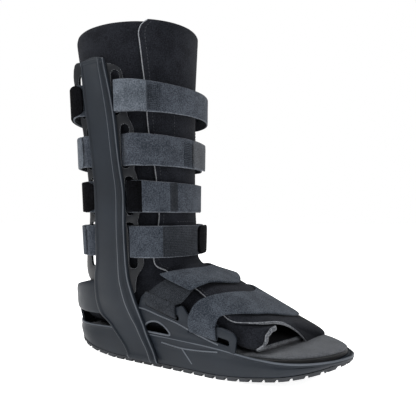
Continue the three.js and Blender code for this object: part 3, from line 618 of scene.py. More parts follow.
def cut_grooves(piece, grooves):
    """Cuts boxes into the underside; each has its place, its size and how far its slope reaches."""
    work = bmesh.new()
    for along, across, length, width, reach in grooves:
        share = along / SOLE_LENGTH
        slope = sole_slope(share, reach)
        centre = Vector((along, across, rocker_height(share)))
        for vert in bmesh.ops.create_cube(work, size=1)["verts"]:
            x = vert.co.x * length
            z = vert.co.z * LUG_DEPTH * 2
            turned_x = x * math.cos(slope) - z * math.sin(slope)
            turned_z = x * math.sin(slope) + z * math.cos(slope)
            vert.co = to_frame(centre + Vector((turned_x, vert.co.y * width, turned_z)))
    mesh = bpy.data.meshes.new("grooves")
    work.to_mesh(mesh)
    work.free()
    cutter = bpy.data.objects.new("grooves", mesh)
    bpy.context.scene.collection.objects.link(cutter)
    modifier = piece.modifiers.new("cut", "BOOLEAN")
    modifier.object = cutter
    modifier.operation = "DIFFERENCE"
    modifier.solver = "EXACT"
    apply_modifiers(piece)
    bpy.data.objects.remove(cutter)


outsole = finish_piece("outsole_lugs", disc_mesh("outsole_fine", [
    (OUTSOLE_INSET + 1.5, rocker_height),
    (OUTSOLE_INSET + 0.3, lambda s: rocker_height(s) + 0.8),
    (OUTSOLE_INSET, lambda s: rocker_height(s) + LUG_DEPTH),
    (OUTSOLE_INSET, lambda s: tray_bottom(s) - TOUCH_GAP),
]), RUBBER, ["outsole"], 30)
CROSS_GROOVES = SOLE_LENGTH // LUG_PITCH
CROSS_GROOVE_WIDTH = SOLE_WIDTH * 1.2
cut_grooves(outsole, [
    (i * SOLE_LENGTH / CROSS_GROOVES, 0, LUG_GROOVE, CROSS_GROOVE_WIDTH, 0.01)
    for i in range(1, CROSS_GROOVES)
])
TOE_GROOVES = 9
TOE_GROOVE_PITCH = 11
TOE_GROOVE_LENGTH = 34
TOE_GROOVE_AT = 0.965 * SOLE_LENGTH
cut_grooves(outsole, [
    (TOE_GROOVE_AT, (i - (TOE_GROOVES - 1) / 2) * TOE_GROOVE_PITCH, TOE_GROOVE_LENGTH, LUG_GROOVE, 0.025)
    for i in range(TOE_GROOVES)
])
outsole.data.set_sharp_from_angle(angle=math.radians(30))


# Base tray: a wall with a rolled rim, undercut at the foot; the rim's outer curve carries a painted
# highlight in a lighter plastic
def part_way(share_up):
    return lambda s: mix(tray_bottom(s), rim_height(s), share_up)


def below_rim(drop):
    return lambda s: rim_height(s) - drop


tray = finish_piece("tray_shell", disc_mesh("tray_fine", [
    (TRAY_WALL, tray_inside),
    (TRAY_WALL, below_rim(1.6)),
    (TRAY_WALL - 0.3, below_rim(0.6)),
    (TRAY_WALL - 1.2, below_rim(0.1)),
    (1.4, below_rim(0)),
    (0.4, below_rim(0.4)),
    (0, below_rim(1.4)),
    (0.1, below_rim(3)),
    (0.9, below_rim(3.8)),
    (0.9, below_rim(5)),
    (0.3, part_way(0.62)),
    (0.2, part_way(0.5)),
    (0.9, part_way(0.3)),
    (1.8, part_way(0.12)),
    (TRAY_UNDERCUT, tray_bottom),
], (4, 5)), SHELL, ["base_tray"])
# Bands 4 and 5, the outer curve of the rolled rim, take this lighter plastic as a painted highlight
tray.data.materials.append(HIGHLIGHT_PLASTIC)

# Wing plates with their slots and windows
WING_START = (0.31, 0.862)
WING_END = (0.69, 1.0)
WING_ROWS = [
    (0.31, 0.06), (0.6, 0.06), (0.685, 0.062), (0.692, 0.118), (0.68, 0.13), (0.64, 0.14), (0.6, 0.139),
    (0.55, 0.145), (0.522, 0.165), (0.51, 0.18), (0.5, 0.184), (0.488, 0.178), (0.38, 0.2), (0.36, 0.207),
    (0.345, 0.198), (0.335, 0.17), (0.318, 0.165),
]
INSTEP_SLOT = (0.365, 0.179, 0.492, 0.147)
TOE_SLOT = (0.525, 0.122, 0.668, 0.101)
ARCH_ROWS = [(0.352, 0.1), (0.463, 0.098), (0.435, 0.12), (0.405, 0.128), (0.375, 0.124)]


def side_point(row):
    return Vector((row[0] * SOLE_LENGTH, row[1] * BOOT_HEIGHT))


def slot_outline(slot):
    """The four corners of a slot in a wing."""
    start = side_point(slot[:2])
    end = side_point(slot[2:])
    rise = Vector((0, WING_SLOT_HEIGHT / 2))
    return [start - rise, end - rise, end + rise, start + rise]


def softened(outline, radius, steps=4):
    """A closed outline with its corners rounded."""
    made = []
    count = len(outline)
    for i in range(count):
        before = outline[i - 1]
        here = outline[i]
        after = outline[(i + 1) % count]
        into = before - here
        out = after - here
        reach = min(radius, into.length * 0.45, out.length * 0.45)
        a = here + into.normalized() * reach
        b = here + out.normalized() * reach
        for k in range(steps + 1):
            t = k / steps
            made.append(a * (1 - t) ** 2 + here * 2 * t * (1 - t) + b * t * t)
    return made


def flat_plate(name, outlines, thickness, bevel):
    """A plate from closed outlines in X and Z, its face towards -Y at zero."""
    curve = bpy.data.curves.new(name, "CURVE")
    curve.dimensions = "2D"
    curve.fill_mode = "BOTH"
    curve.extrude = thickness / 2 - bevel
    curve.bevel_depth = bevel
    curve.bevel_resolution = 1
    curve.offset = -bevel
    for outline in outlines:
        spline = curve.splines.new("POLY")
        spline.points.add(len(outline) - 1)
        for point, place in zip(spline.points, outline):
            point.co = (place.x, place.y, 0, 1)
        spline.use_cyclic_u = True
    holder = bpy.data.objects.new(name, curve)
    bpy.context.scene.collection.objects.link(holder)
    depsgraph = bpy.context.evaluated_depsgraph_get()
    mesh = bpy.data.meshes.new_from_object(holder.evaluated_get(depsgraph))
    bpy.data.objects.remove(holder)
    return mesh


def wing_across(x, side, outward=0.0):
    share = (x / SOLE_LENGTH - WING_START[0]) / (WING_END[0] - WING_START[0])
    return side * (mix(WING_START[1], WING_END[1], share) * SOLE_WIDTH / 2 + outward)


SLOT_CORNER = 2.6
WING_CORNER = 7
WINDOW_CORNER = 6
WING_BEVEL = 0.8


def wing_mesh(side):
    mesh = flat_plate("wing", [
        softened([side_point(r) for r in WING_ROWS], WING_CORNER),
        softened(slot_outline(INSTEP_SLOT), SLOT_CORNER),
        softened(slot_outline(TOE_SLOT), SLOT_CORNER),
        softened([side_point(r) for r in ARCH_ROWS], WINDOW_CORNER),
    ], WING_THICKNESS, WING_BEVEL)
    for vert in mesh.vertices:
        y = wing_across(vert.co.x, side, -WING_THICKNESS / 2)
        vert.co = to_frame((vert.co.x, y + vert.co.z, vert.co.y))
    mesh.uv_layers.new(name="cloth")
    return recalculated(mesh)


def bead(name, outline, side, radius, outward, closed):
    """A rounded line along the wing's outer face, in the lighter plastic that paints a highlight along it.
    """
    points = [Vector((p.x, wing_across(p.x, side, outward), p.y)) for p in outline]
    tube_piece(name, points, radius, BEAD_FLAT, [Vector((0, side, 0))] * len(points), HIGHLIGHT_PLASTIC, closed)


def tray_side(along, up, side):
    """A place on the tray's outer face."""
    x = along * SOLE_LENGTH
    z = up * BOOT_HEIGHT
    low = tray_bottom(along)
    share_up = (z - low) / (rim_height(along) - low)
    inset = TRAY_UNDERCUT * max(0, 1 - share_up * 1.6) ** 1.4
    half = SOLE_WIDTH / 2
    y = sole_half_width((x - inset) / (SOLE_LENGTH - 2 * inset)) * (half - inset) / half
    return Vector((x, side * y, z))


SIDE_NAMES = {-1: "right", 1: "left"}
RIB = [(0.334, 0.163), (0.365, 0.16), (0.42, 0.148), (0.487, 0.134), (0.56, 0.112), (0.632, 0.094)]
SEAMS = [
    [(0.428, 0.075), (0.5, 0.0685), (0.56, 0.07), (0.63, 0.0755)],
    [(0.505, 0.068), (0.522, 0.05), (0.54, 0.03)],
]
ARCH_CENTRE = (0.405, 0.112)
ARCH_BEAD_REACH = 1.6
BEAD_FLAT = 0.7
for side in (-1, 1):
    tag = SIDE_NAMES[side]
    finish_piece(f"{tag}_wing", wing_mesh(side), SHELL, ["base_tray"], 50)
    arch = softened([side_point(r) for r in ARCH_ROWS], WINDOW_CORNER)
    grown = [p + (p - side_point(ARCH_CENTRE)).normalized() * ARCH_BEAD_REACH for p in arch]
    bead(f"{tag}_arch_bead", grown, side, 1.0, 0.0, True)
    bead(f"{tag}_rib", curved([side_point(r) for r in RIB]), side, 0.8, 0.1, False)
    # The seams are tubes in the lighter plastic too: painted highlights along the tray's sides
    for number, seam in enumerate(SEAMS):
        line = [tray_side(along, up, side) for along, up in curved([Vector(p) for p in seam])]
        outs = [Vector((0, side, 0))] * len(line)
        tube_piece(f"{tag}_seam_{number}", line, 0.8, BEAD_FLAT, outs, HIGHLIGHT_PLASTIC)


# The frame's bands
BAND_ROWS = [
    (0.016, 0.303, 0.419), (0.048, 0.284, 0.405), (0.083, 0.246, 0.383), (0.113, 0.211, 0.367),
    (0.133, 0.18, 0.354), (0.165, 0.165, 0.336), (0.2, 0.162, 0.323), (0.243, 0.163, 0.31),
    (0.29, 0.177, 0.304), (0.395, 0.184, 0.301), (0.498, 0.188, 0.303), (0.573, 0.185, 0.293),
    (0.63, 0.18, 0.287), (0.7, 0.171, 0.281), (0.768, 0.161, 0.271), (0.848, 0.155, 0.254),
    (0.872, 0.155, 0.247),
]
BAND_RELIEF = [
    (0, 0.3), (0.012, 0.62), (0.03, 0.92), (0.05, 1), (0.085, 1), (0.1, 0.9), (0.115, 0.72), (0.14, 0.69),
    (0.25, 0.7), (0.4, 0.72), (0.55, 0.72), (0.68, 0.7), (0.745, 0.69), (0.765, 0.76), (0.785, 0.97),
    (0.8, 1), (0.845, 1), (0.865, 0.9), (0.88, 0.6), (0.9, 0.55), (0.93, 0.55), (0.945, 0.7),
    (0.965, 0.76), (0.985, 0.6), (1, 0.3),
]
BAND_PEAK = 0.014
BAND_PEAK_AT = 0.62
BAND_PEAK_REACH = 9
BAND_BORDER = 4.2
BAND_STEPS = 110
BAND_TOP_STEPS = (0.35, 0.9, 1.8, 2.8, 3.4, 4.0, 4.6, 5.4)
# Relief columns in the lighter plastic: painted highlights along the ridges and the front lip
BAND_HIGHLIGHT_COLUMNS = (1, 14, 22)
BORDER_RISE = 0.97
BORDER_FALL = 3
BORDER_FALL_FROM = 0.87
PLATE_FOOT = 0.075 * BOOT_HEIGHT
PLATE_MIDDLE = 0.26
PLATE_MIDDLE_LEAN = 0.065


def plate_side(z):
    return PLATE_SPREAD + PLATE_LEAN * (z - PLATE_FOOT)


def plate_middle(z):
    return SOLE_LENGTH * (PLATE_MIDDLE - PLATE_MIDDLE_LEAN * z / BOOT_HEIGHT)


def plate_across(x, z):
    return plate_side(z) - (x - plate_middle(z)) ** 2 / (2 * PLATE_RADIUS)


def band_inside(x, z):
    on_tray = sole_half_width(max(x / SOLE_LENGTH, HEEL_ROUND)) + 1
    on_plate = plate_across(x, z) + PLATE_THICKNESS / 2 + TOUCH_GAP
    return mix(on_tray, on_plate, smoothstep(z / BOOT_HEIGHT, 0.1, 0.2))


def band_mesh(side):
    """A band with a sunk panel that its border runs round at the top and the foot; three lines of its
    relief take a lighter plastic as painted highlights.
    """
    low = BAND_ROWS[0][0]
    high = BAND_ROWS[-1][0]
    ups = spread(low, high, BAND_STEPS) + [high - drop / BOOT_HEIGHT for drop in BAND_TOP_STEPS]
    rings = []
    for up in sorted(ups):
        z = up * BOOT_HEIGHT
        rear, front = read_row(BAND_ROWS, up)
        drop = (high - up) * BOOT_HEIGHT
        climb = (up - low) * BOOT_HEIGHT
        border = 1 - smoothstep(min(drop, climb), BAND_BORDER - 1, BAND_BORDER)
        rim = smoothstep(drop, -0.1, 0.9) * smoothstep(climb, -0.1, 2)
        outer = []
        inner = []
        for across, rise in BAND_RELIEF:
            x = SOLE_LENGTH * mix(rear, front, across)
            peak = BAND_PEAK * BOOT_HEIGHT * (1 - abs(across - BAND_PEAK_AT))
            height = z + peak * (1 - smoothstep(drop, 0, BAND_PEAK_REACH))
            bordered = max(rise, BORDER_RISE - BORDER_FALL * max(0, across - BORDER_FALL_FROM))
            inside = band_inside(x, z)
            outside = inside + FRAME_THICKNESS * mix(rise, bordered, border) * (0.7 + 0.3 * rim)
            outer.append(Vector((x, side * outside, height)))
            inner.append(Vector((x, side * inside, height)))
        rings.append(outer + inner[::-1])
    return ring_mesh("band", rings, edge_columns=BAND_HIGHLIGHT_COLUMNS)


CUP_REACH = 0.06
CUP_CENTRE = 0.165
CUP_BACK = -0.013
CUP_FOOT = 0.133
CUP_TOPS = (0.203, 0.232)
CUP_STEPS = 56
CUP_UNDER = 59
CUP_UNDER_REACH = 7
CUP_UNDER_THINNER = 0.55
CUP_GAP = 0.7
CUP_RELIEF = [(0, 1.6), (0.04, 0.8), (0.12, 0.2), (0.25, 0), (0.6, 0), (0.8, 0.1), (0.93, 0.6), (1, 1.7)]


def cup_path(z):
    """The cup's inner line at a height, with how far round to the side each point is."""
    centre_x = CUP_CENTRE * SOLE_LENGTH
    side_x = centre_x + CUP_REACH * SOLE_LENGTH
    across = band_inside(centre_x, z) + CUP_GAP
    back = centre_x - CUP_BACK * SOLE_LENGTH - HEEL_CUP_THICKNESS
    side_y = band_inside(side_x, z) + CUP_GAP
    path = [(side_x, -side_y, 1)]
    for angle in spread(-math.pi / 2, math.pi / 2, CUP_STEPS):
        path.append((centre_x - back * math.cos(angle), across * math.sin(angle), abs(math.sin(angle))))
    path.append((side_x, side_y, 1))
    return path


def cup_mesh():
    rings = []
    turns = [turn for x, y, turn in cup_path(CUP_FOOT * BOOT_HEIGHT)]
    for i, turn in enumerate(turns):
        top = mix(CUP_TOPS[0], CUP_TOPS[1], turn ** 4)
        outer = []
        inner = []
        for share, thinner in CUP_RELIEF:
            z = BOOT_HEIGHT * mix(CUP_FOOT, top, share)
            path = cup_path(z)
            before = path[max(i - 1, 0)]
            after = path[min(i + 1, len(path) - 1)]
            normal = Vector((before[1] - after[1], after[0] - before[0])).normalized()
            x, y = path[i][:2]
            hidden = smoothstep(x, CUP_UNDER, CUP_UNDER + CUP_UNDER_REACH)
            thickness = (HEEL_CUP_THICKNESS - thinner) * (1 - CUP_UNDER_THINNER * hidden)
            outer.append(Vector((x + normal.x * thickness, y + normal.y * thickness, z)))
            inner.append(Vector((x, y, z)))
        rings.append(outer + inner[::-1])
    return ring_mesh("cup", rings)


for side in (-1, 1):
    band = finish_piece(f"{SIDE_NAMES[side]}_band", band_mesh(side), SHELL, ["calf_frame"], 50)
    band.data.materials.append(HIGHLIGHT_PLASTIC)
finish_piece("heel_cup", cup_mesh(), SHELL, ["calf_frame"], 50)

# A thin wall joins the cup to the tray behind the heel
POST_TURN = 44
POST_STEPS = 14
POST_THICKNESS = 2.6
POST_FOOT_BACK = 1.5
POST_ROWS = [(0.086, 1.4), (0.1, 0.4), (0.12, 0.2), (0.14, 0.6)]


def post_mesh():
    centre_x = CUP_CENTRE * SOLE_LENGTH
    rings = []
    for degrees in spread(-POST_TURN, POST_TURN, POST_STEPS):
        angle = math.radians(degrees)
        outer = []
        inner = []
        for up, inset in POST_ROWS:
            z = up * BOOT_HEIGHT
            share = smoothstep(up, POST_ROWS[0][0], POST_ROWS[-1][0])
            back = centre_x - mix(POST_FOOT_BACK, CUP_BACK * SOLE_LENGTH, share) - inset
            across = band_inside(centre_x, z)
            for line, depth in ((outer, 0), (inner, POST_THICKNESS)):
                x = centre_x - (back - depth) * math.cos(angle)
                line.append(Vector((x, (across - depth) * math.sin(angle), z)))
        rings.append(outer + inner[::-1])
    return ring_mesh("post", rings)


finish_piece("heel_post", post_mesh(), SHELL, [], 50)

# Side plates with strap slots
PLATE_ROWS = [
    (0.205, 0.2, 0.327), (0.225, 0.13, 0.327), (0.24, 0.112, 0.327), (0.26, 0.104, 0.33),
    (0.272, 0.105, 0.351), (0.3, 0.111, 0.354), (0.397, 0.142, 0.346), (0.413, 0.147, 0.331),
    (0.43, 0.15, 0.346), (0.525, 0.152, 0.343), (0.548, 0.15, 0.337), (0.565, 0.148, 0.328),
    (0.58, 0.146, 0.334), (0.66, 0.14, 0.334), (0.69, 0.135, 0.331), (0.71, 0.13, 0.314),
    (0.81, 0.103, 0.306), (0.855, 0.092, 0.3), (0.872, 0.104, 0.275),
]
PLATE_TOP_LIFT = 7
PLATE_LIFT_FROM = 0.848
PLATE_STEPS = 60
SLOT_END_ROOM = 1.6
SLOT_RIM_LEAST = PLATE_RIM * 0.6
PLATE_TOP_TILT = 1.5
EASE_KEEP = 0.55
EASE_TAKE = 0.225
# The heights are shares of the boot's height, the crests shares of the sole's length
Strap = namedtuple("Strap", "name up front_crest rear_crest flatness slot_low slot_high droop")
CALF_STRAPS = [
    Strap("calf_strap_1", 0.772, 0.488, -0.006, 1.2, 0.7165, 0.848, 6),
    Strap("calf_strap_2", 0.619, 0.46, 0.029, 1.12, 0.564, 0.6945, 2),
    Strap("calf_strap_3", 0.485, 0.452, 0.056, 1.1, 0.429, 0.5435, 2.2),
    Strap("calf_strap_4", 0.354, 0.468, 0.062, 1.0, 0.275, 0.4125, 0),
]


def plate_edges(z, lead):
    """A plate's rear and front edges at a height."""
    rear, front = read_row(PLATE_ROWS, z / BOOT_HEIGHT, True)
    return SOLE_LENGTH * rear, SOLE_LENGTH * front + lead


def slot_places(strap, lead):
    """The middles of a strap's rear and front slots along the boot."""
    rear, front = plate_edges(strap.up * BOOT_HEIGHT, lead)
    reach = PLATE_RIM + SLOT_WIDTH / 2
    return rear + reach, front - reach


def eased(work):
    """Draws each corner of the open edges towards its neighbours."""
    moves = {}
    for vert in work.verts:
        near = [edge.other_vert(vert).co for edge in vert.link_edges if edge.is_boundary]
        if len(near) == 2:
            moves[vert] = vert.co * EASE_KEEP + (near[0] + near[1]) * EASE_TAKE
    for vert, place in moves.items():
        vert.co = place


def plate_piece(side, lead):
    """A plate of one sheet of quads whose lines follow the slots, then thickened and rounded."""
    low = PLATE_ROWS[0][0] * BOOT_HEIGHT
    high = PLATE_ROWS[-1][0] * BOOT_HEIGHT
    levels = {low, high, *spread(low, high, PLATE_STEPS)}
    slot_rows = []
    for strap in CALF_STRAPS:
        ends = (strap.slot_low * BOOT_HEIGHT, strap.slot_high * BOOT_HEIGHT)
        levels = {z for z in levels if min(abs(z - end) for end in ends) > SLOT_END_ROOM}
        levels.update(ends)
        slot_rows += [(end, *slot_places(strap, lead)) for end in ends]
    slot_rows.sort()
    levels = sorted(levels)
    half = SLOT_WIDTH / 2
    points = []
    for z in levels:
        rear, front = plate_edges(z, lead)
        slot_rear, slot_front = read_row(slot_rows, z, True)
        slot_rear = max(slot_rear, rear + SLOT_RIM_LEAST + half)
        slot_front = min(slot_front, front - SLOT_RIM_LEAST - half)
        edges = spread(rear, slot_rear - half, 2) + [slot_rear]
        edges += spread(slot_rear + half, slot_front - half, 6) + [slot_front]
        edges += spread(slot_front + half, front, 2)
        for x in edges:
            tilt = 1 - PLATE_TOP_TILT * (x - rear) / (front - rear)
            lift = PLATE_TOP_LIFT * tilt * smoothstep(z / BOOT_HEIGHT, PLATE_LIFT_FROM, PLATE_ROWS[-1][0])
            points.append(Vector((x, side * plate_across(x, z), z + lift)))
    columns = len(edges)
    faces = []
    for i in range(len(levels) - 1):
        up = (levels[i] + levels[i + 1]) / 2 / BOOT_HEIGHT
        in_slot = any(strap.slot_low < up < strap.slot_high for strap in CALF_STRAPS)
        for k in range(columns - 1):
            if in_slot and k in (2, 3, columns - 5, columns - 4):
                continue
            first = i * columns + k
            faces.append((first, first + 1, first + 1 + columns, first + columns))
    mesh = mesh_from("plate", points, faces)
    work = bmesh.new()
    work.from_mesh(mesh)
    eased(work)
    eased(work)
    bmesh.ops.delete(work, geom=[v for v in work.verts if not v.link_faces], context="VERTS")
    bmesh.ops.recalc_face_normals(work, faces=work.faces)
    work.to_mesh(mesh)
    work.free()
    tag = SIDE_NAMES[side]
    piece = finish_piece(f"{tag}_plate", mesh, SHELL_DARK, [f"{tag}_side_plate"], 50)
    solid = piece.modifiers.new("solid", "SOLIDIFY")
    solid.thickness = PLATE_THICKNESS / 1000
    solid.offset = 0
    apply_modifiers(piece)
    # The bevel's faces take the light plate plastic: painted highlights along the plate's edges and slots
    rounded(piece, 0.9, 2, 40, PLATE_HIGHLIGHT_PLASTIC)


plate_piece(-1, 0)
plate_piece(1, LEFT_PLATE_LEAD)

# The straps' way round the leg
ARC_STEPS = 10
FINE = 6
PLATE_RUN_STEPS = 12
FRONT_ARC_POWER = 1.08
SLOT_TURN = 0.8
LANES = 9
RIPPLE = 0.35
DROOP_END = 1.1
LOW_EDGE_DROOP = 0.2


def strap_at_plate(strap, z, lead):
    """A strap's point at the front slot, its run behind the plate and its point at the rear slot."""
    rear_slot, front_slot = slot_places(strap, lead)
    stand = PLATE_THICKNESS / 2 + STRAP_CLEARANCE + STRAP_THICKNESS / 2
    turn = SLOT_WIDTH * SLOT_TURN / 2
    along = spread(front_slot - turn, rear_slot + turn, PLATE_RUN_STEPS)
    run = [(x, plate_across(x, z) - stand) for x in along]
    front = (front_slot + turn, plate_across(front_slot + turn, z) + stand)
    rear = (rear_slot - turn, plate_across(rear_slot - turn, z) + stand)
    return front, run, rear


def quarter_arc(start, crest_x, side, power):
    points = []
    for angle in spread(0, math.pi / 2, ARC_STEPS * FINE):
        x = mix(start[0], crest_x, math.sin(angle) ** power)
        points.append(Vector((x, side * start[1] * max(0, math.cos(angle)) ** power)))
    return points


def drooped(strap, point, z):
    """The height of a strap's point: the run over the shin hangs lower than at the plates."""
    start = strap_at_plate(strap, strap.up * BOOT_HEIGHT, 0)[0][0]
    share = (point.x - start) / (strap.front_crest * SOLE_LENGTH - start)
    level = (z - strap.up * BOOT_HEIGHT) / STRAP_WIDTH + 0.5
    edge = LOW_EDGE_DROOP + (1 - LOW_EDGE_DROOP) * level
    return z - strap.droop * smoothstep(share, 0, DROOP_END) * edge


def strap_arc(strap, z, run):
    """A strap's run over the shin or the calf, from the right plate to the left one."""
    if run == "front":
        crest, power, place = strap.front_crest * SOLE_LENGTH, FRONT_ARC_POWER, 0
    else:
        crest, power, place = strap.rear_crest * SOLE_LENGTH, strap.flatness, 2
    right = quarter_arc(strap_at_plate(strap, z, 0)[place], crest, -1, power)
    left = quarter_arc(strap_at_plate(strap, z, LEFT_PLATE_LEAD)[place], crest, 1, power)
    return right + left[-2::-1]


def strap_loop(strap, z):
    right = [Vector((x, -y)) for x, y in reversed(strap_at_plate(strap, z, 0)[1])]
    left = [Vector((x, y)) for x, y in strap_at_plate(strap, z, LEFT_PLATE_LEAD)[1]]
    return strap_arc(strap, z, "front") + left + strap_arc(strap, z, "rear")[::-1] + right


def offset_path(path, offset):
    moved = []
    last = len(path) - 1
    for i, point in enumerate(path):
        before = path[max(i - 1, 0)]
        after = path[min(i + 1, last)]
        along = (after - before).normalized()
        moved.append(Vector((point.x + along.y * offset, point.y - along.x * offset)))
    return moved


def strap_levels(strap, trim):
    middle = strap.up * BOOT_HEIGHT
    reach = STRAP_WIDTH / 2 - trim
    return spread(middle - reach, middle + reach, LANES - 1)


def calf_strap_piece(strap):
    levels = strap_levels(strap, STRAP_THICKNESS / 2)
    paths = [strap_loop(strap, z) for z in levels]
    rows = []
    for i in range(len(paths[0])):
        row = []
        for z, path in zip(levels, paths):
            ripple = RIPPLE * noise.noise(Vector((i * 0.11, z * 0.03, strap.up * 50)))
            row.append(Vector((path[i].x, path[i].y, drooped(strap, path[i], z) + ripple)))
        rows.append(row)
    mesh = slab_mesh(strap.name, rows, STRAP_THICKNESS, closed=True, frayed=True)
    finish_piece(f"{strap.name}_webbing", mesh, LOOP, [strap.name]).data.materials.append(FRAY)


PAD_THICKNESS = 3.2
REAR_PAD_THICKNESS = 2.4
# Name, strap, run, start and end along the run, flare, material, how round the ends are, thickness
LAYERS = [
    ("strap_1_tab", 0, "front", -0.4, 3.3, 0, TAB, 0, LAYER_THICKNESS),
    ("strap_2_end", 1, "front", 9.4, 14, 1, PALE, 0.1, LAYER_THICKNESS),
    ("strap_3_tab", 2, "front", 2, 5.7, 0, TAB_DARK, 0, LAYER_THICKNESS),
    ("strap_3_end", 2, "front", 6.9, 13, 0, LOOP, 0, LAYER_THICKNESS),
    ("strap_4_tab", 3, "front", -0.5, 4.3, 0, TAB_DARK, 0, LAYER_THICKNESS),
    ("strap_4_pad", 3, "front", 10.3, 15, 1, PILE, 0.5, PAD_THICKNESS),
    ("strap_1_rear_pad", 0, "rear", -0.6, 10, 0, PILE, 0.3, REAR_PAD_THICKNESS),
    ("strap_2_rear_tab", 1, "rear", 1, 8, 0, TAB, 0.1, LAYER_THICKNESS),
    ("strap_3_rear_pad", 2, "rear", -0.6, 10, 0, PILE, 0.3, REAR_PAD_THICKNESS),
    ("strap_4_rear_tab", 3, "rear", 1, 8, 0, TAB_DARK, 0.2, LAYER_THICKNESS),
]
# Cloth that lies on the straps in the dressed boot alone
EXTRA_LAYERS = [
    ("strap_3_pile", 2, "front", -0.5, 1.95, 0, PILE, 0, 1.6),
    ("strap_3_rib_base", 2, "front", 5.75, 6.85, 0, WOVEN, 0, 1.4),
    ("strap_4_weave", 3, "front", 4.4, 9.9, 0, WOVEN, 0, 1.0),
]
LAYER_TRIM = 0.5
LAYER_FLARE = 2.5
END_SQUEEZE = 0.28
LEAD_SHARES = (1, 0.66, 0.33)


def layer_piece(layer, nodes):
    """A piece of cloth along a strap; a start below zero begins before the slot."""
    name, index, run, start, end, flare, material, roundness, thickness = layer
    strap = CALF_STRAPS[index]
    stand = (STRAP_THICKNESS / 2 + TOUCH_GAP + thickness / 2) * (-1 if run == "rear" else 1)
    middle = strap.up * BOOT_HEIGHT
    levels = strap_levels(strap, LAYER_TRIM + thickness / 2)
    paths = []
    for z in levels:
        path = offset_path(strap_arc(strap, z, run), stand)
        ahead = (path[0] - path[1]).normalized() * SLOT_WIDTH * -start
        lead = [path[0] + ahead * share for share in LEAD_SHARES] if start < 0 else []
        paths.append(lead + path[int(max(0, start) * FINE):int(end * FINE) + 1])
    last = len(paths[0]) - 1
    rows = []
    for i in range(last + 1):
        share = i / last
        from_end = min(share, 1 - share) * 2
        squeeze = 1
        if from_end < roundness:
            squeeze = 1 - END_SQUEEZE * (1 - math.sqrt(max(0, 1 - (1 - from_end / roundness) ** 2)))
        row = []
        for z, path in zip(levels, paths):
            height = drooped(strap, path[i], middle + (z - middle) * squeeze)
            row.append(Vector((path[i].x + flare * LAYER_FLARE * share ** 3, path[i].y, height)))
        rows.append(row)
    mesh = slab_mesh(name, rows, thickness, frayed=material != PILE)
    finish_piece(f"{name}_cloth", mesh, material, nodes).data.materials.append(FRAY)


for strap in CALF_STRAPS:
    calf_strap_piece(strap)
for layer in LAYERS:
    layer_piece(layer, [layer[0]])
for layer in EXTRA_LAYERS:
    layer_piece(layer, [])


def strap_line(strap, place, from_share, to_share, stand, steps):
    """A line across a strap at one place along its front run, with its outward directions."""
    levels = strap_levels(strap, 2)
    first = int(place * FINE)
    line = []
    for share in spread(from_share, to_share, steps):
        z = mix(levels[0], levels[-1], share)
        path = strap_arc(strap, z, "front")
        here = path[first].lerp(path[first + 1], place * FINE - first)
        along = (path[first + 1] - path[first]).normalized()
        out = Vector((along.y, -along.x, 0))
        line.append((Vector((here.x, here.y, drooped(strap, here, z))) + out * stand, out))
    return line


GRID_EDGE = 0.03


def stitch_grid(name, strap, start, end, columns=6, rows=14):
    """Crossing lines of dark stitches on a strap's front run."""
    stand = STRAP_THICKNESS / 2 + 0.1
    lines = []
    for place in spread(start, end, columns):
        lines.append(strap_line(strap, place, GRID_EDGE, 1 - GRID_EDGE, stand, 14))
    places = spread(start, end, 16)
    for share in spread(GRID_EDGE, 1 - GRID_EDGE, rows):
        lines.append([strap_line(strap, place, share, share, stand, 1)[0] for place in places])
    stitch_piece(name, lines, THREAD_DARK, 2.0, 2.5, 0.34)


stitch_grid("strap_1_stitches", CALF_STRAPS[0], 3.45, 4.5)
stitch_grid("strap_2_stitches", CALF_STRAPS[1], 7.8, 9.2)
RIB_STAND = STRAP_THICKNESS / 2 + 1.7
RIB_COUNT = 6
RIB_START = 5.85
RIB_PITCH = 0.18
ribs = []
for k in range(RIB_COUNT):
    line = strap_line(CALF_STRAPS[2], RIB_START + RIB_PITCH * k, 0.02, 0.98, RIB_STAND, 2)
    ribs.append(tube_mesh("rib", [place for place, out in line], 0.75, 0.8, [out for place, out in line]))
finish_piece("strap_3_ribs", joined("strap_3_ribs", ribs), WOVEN, [])

# The liner's sections: front along and up, back along and up, half width, squareness
LINER_ROWS = [
    (0.441, 1.0, -0.026, 1.0, 1.0, 2), (0.438, 0.94, -0.014, 0.94, 0.975, 2),
    (0.434, 0.875, -0.002, 0.875, 0.955, 2), (0.429, 0.79, 0.012, 0.79, 0.94, 2),
    (0.43, 0.68, 0.036, 0.68, 0.92, 2), (0.43, 0.55, 0.066, 0.55, 0.88, 2),
    (0.434, 0.43, 0.088, 0.42, 0.84, 2), (0.44, 0.35, 0.08, 0.31, 0.8, 2.1),
    (0.447, 0.3, 0.045, 0.235, 0.77, 2.2), (0.46, 0.282, 0.012, 0.175, 0.755, 2.3),
    (0.474, 0.274, 0.022, 0.108, 0.745, 2.4), (0.488, 0.268, 0.1, 0.0775, 0.745, 2.4),
    (0.503, 0.262, 0.26, 0.0715, 0.755, 2.4), (0.523, 0.255, 0.42, 0.0715, 0.765, 2.4),
    (0.56, 0.243, 0.54, 0.0735, 0.785, 2.5), (0.62, 0.217, 0.62, 0.0755, 0.81, 2.4),
    (0.69, 0.186, 0.68, 0.078, 0.8, 2.3), (0.755, 0.157, 0.74, 0.0795, 0.78, 2.3),
    (0.815, 0.132, 0.805, 0.081, 0.75, 2.3),
    (0.826, 0.117, 0.822, 0.0835, 0.66, 2.3), (0.833, 0.1, 0.83, 0.085, 0.58, 2.2),
]
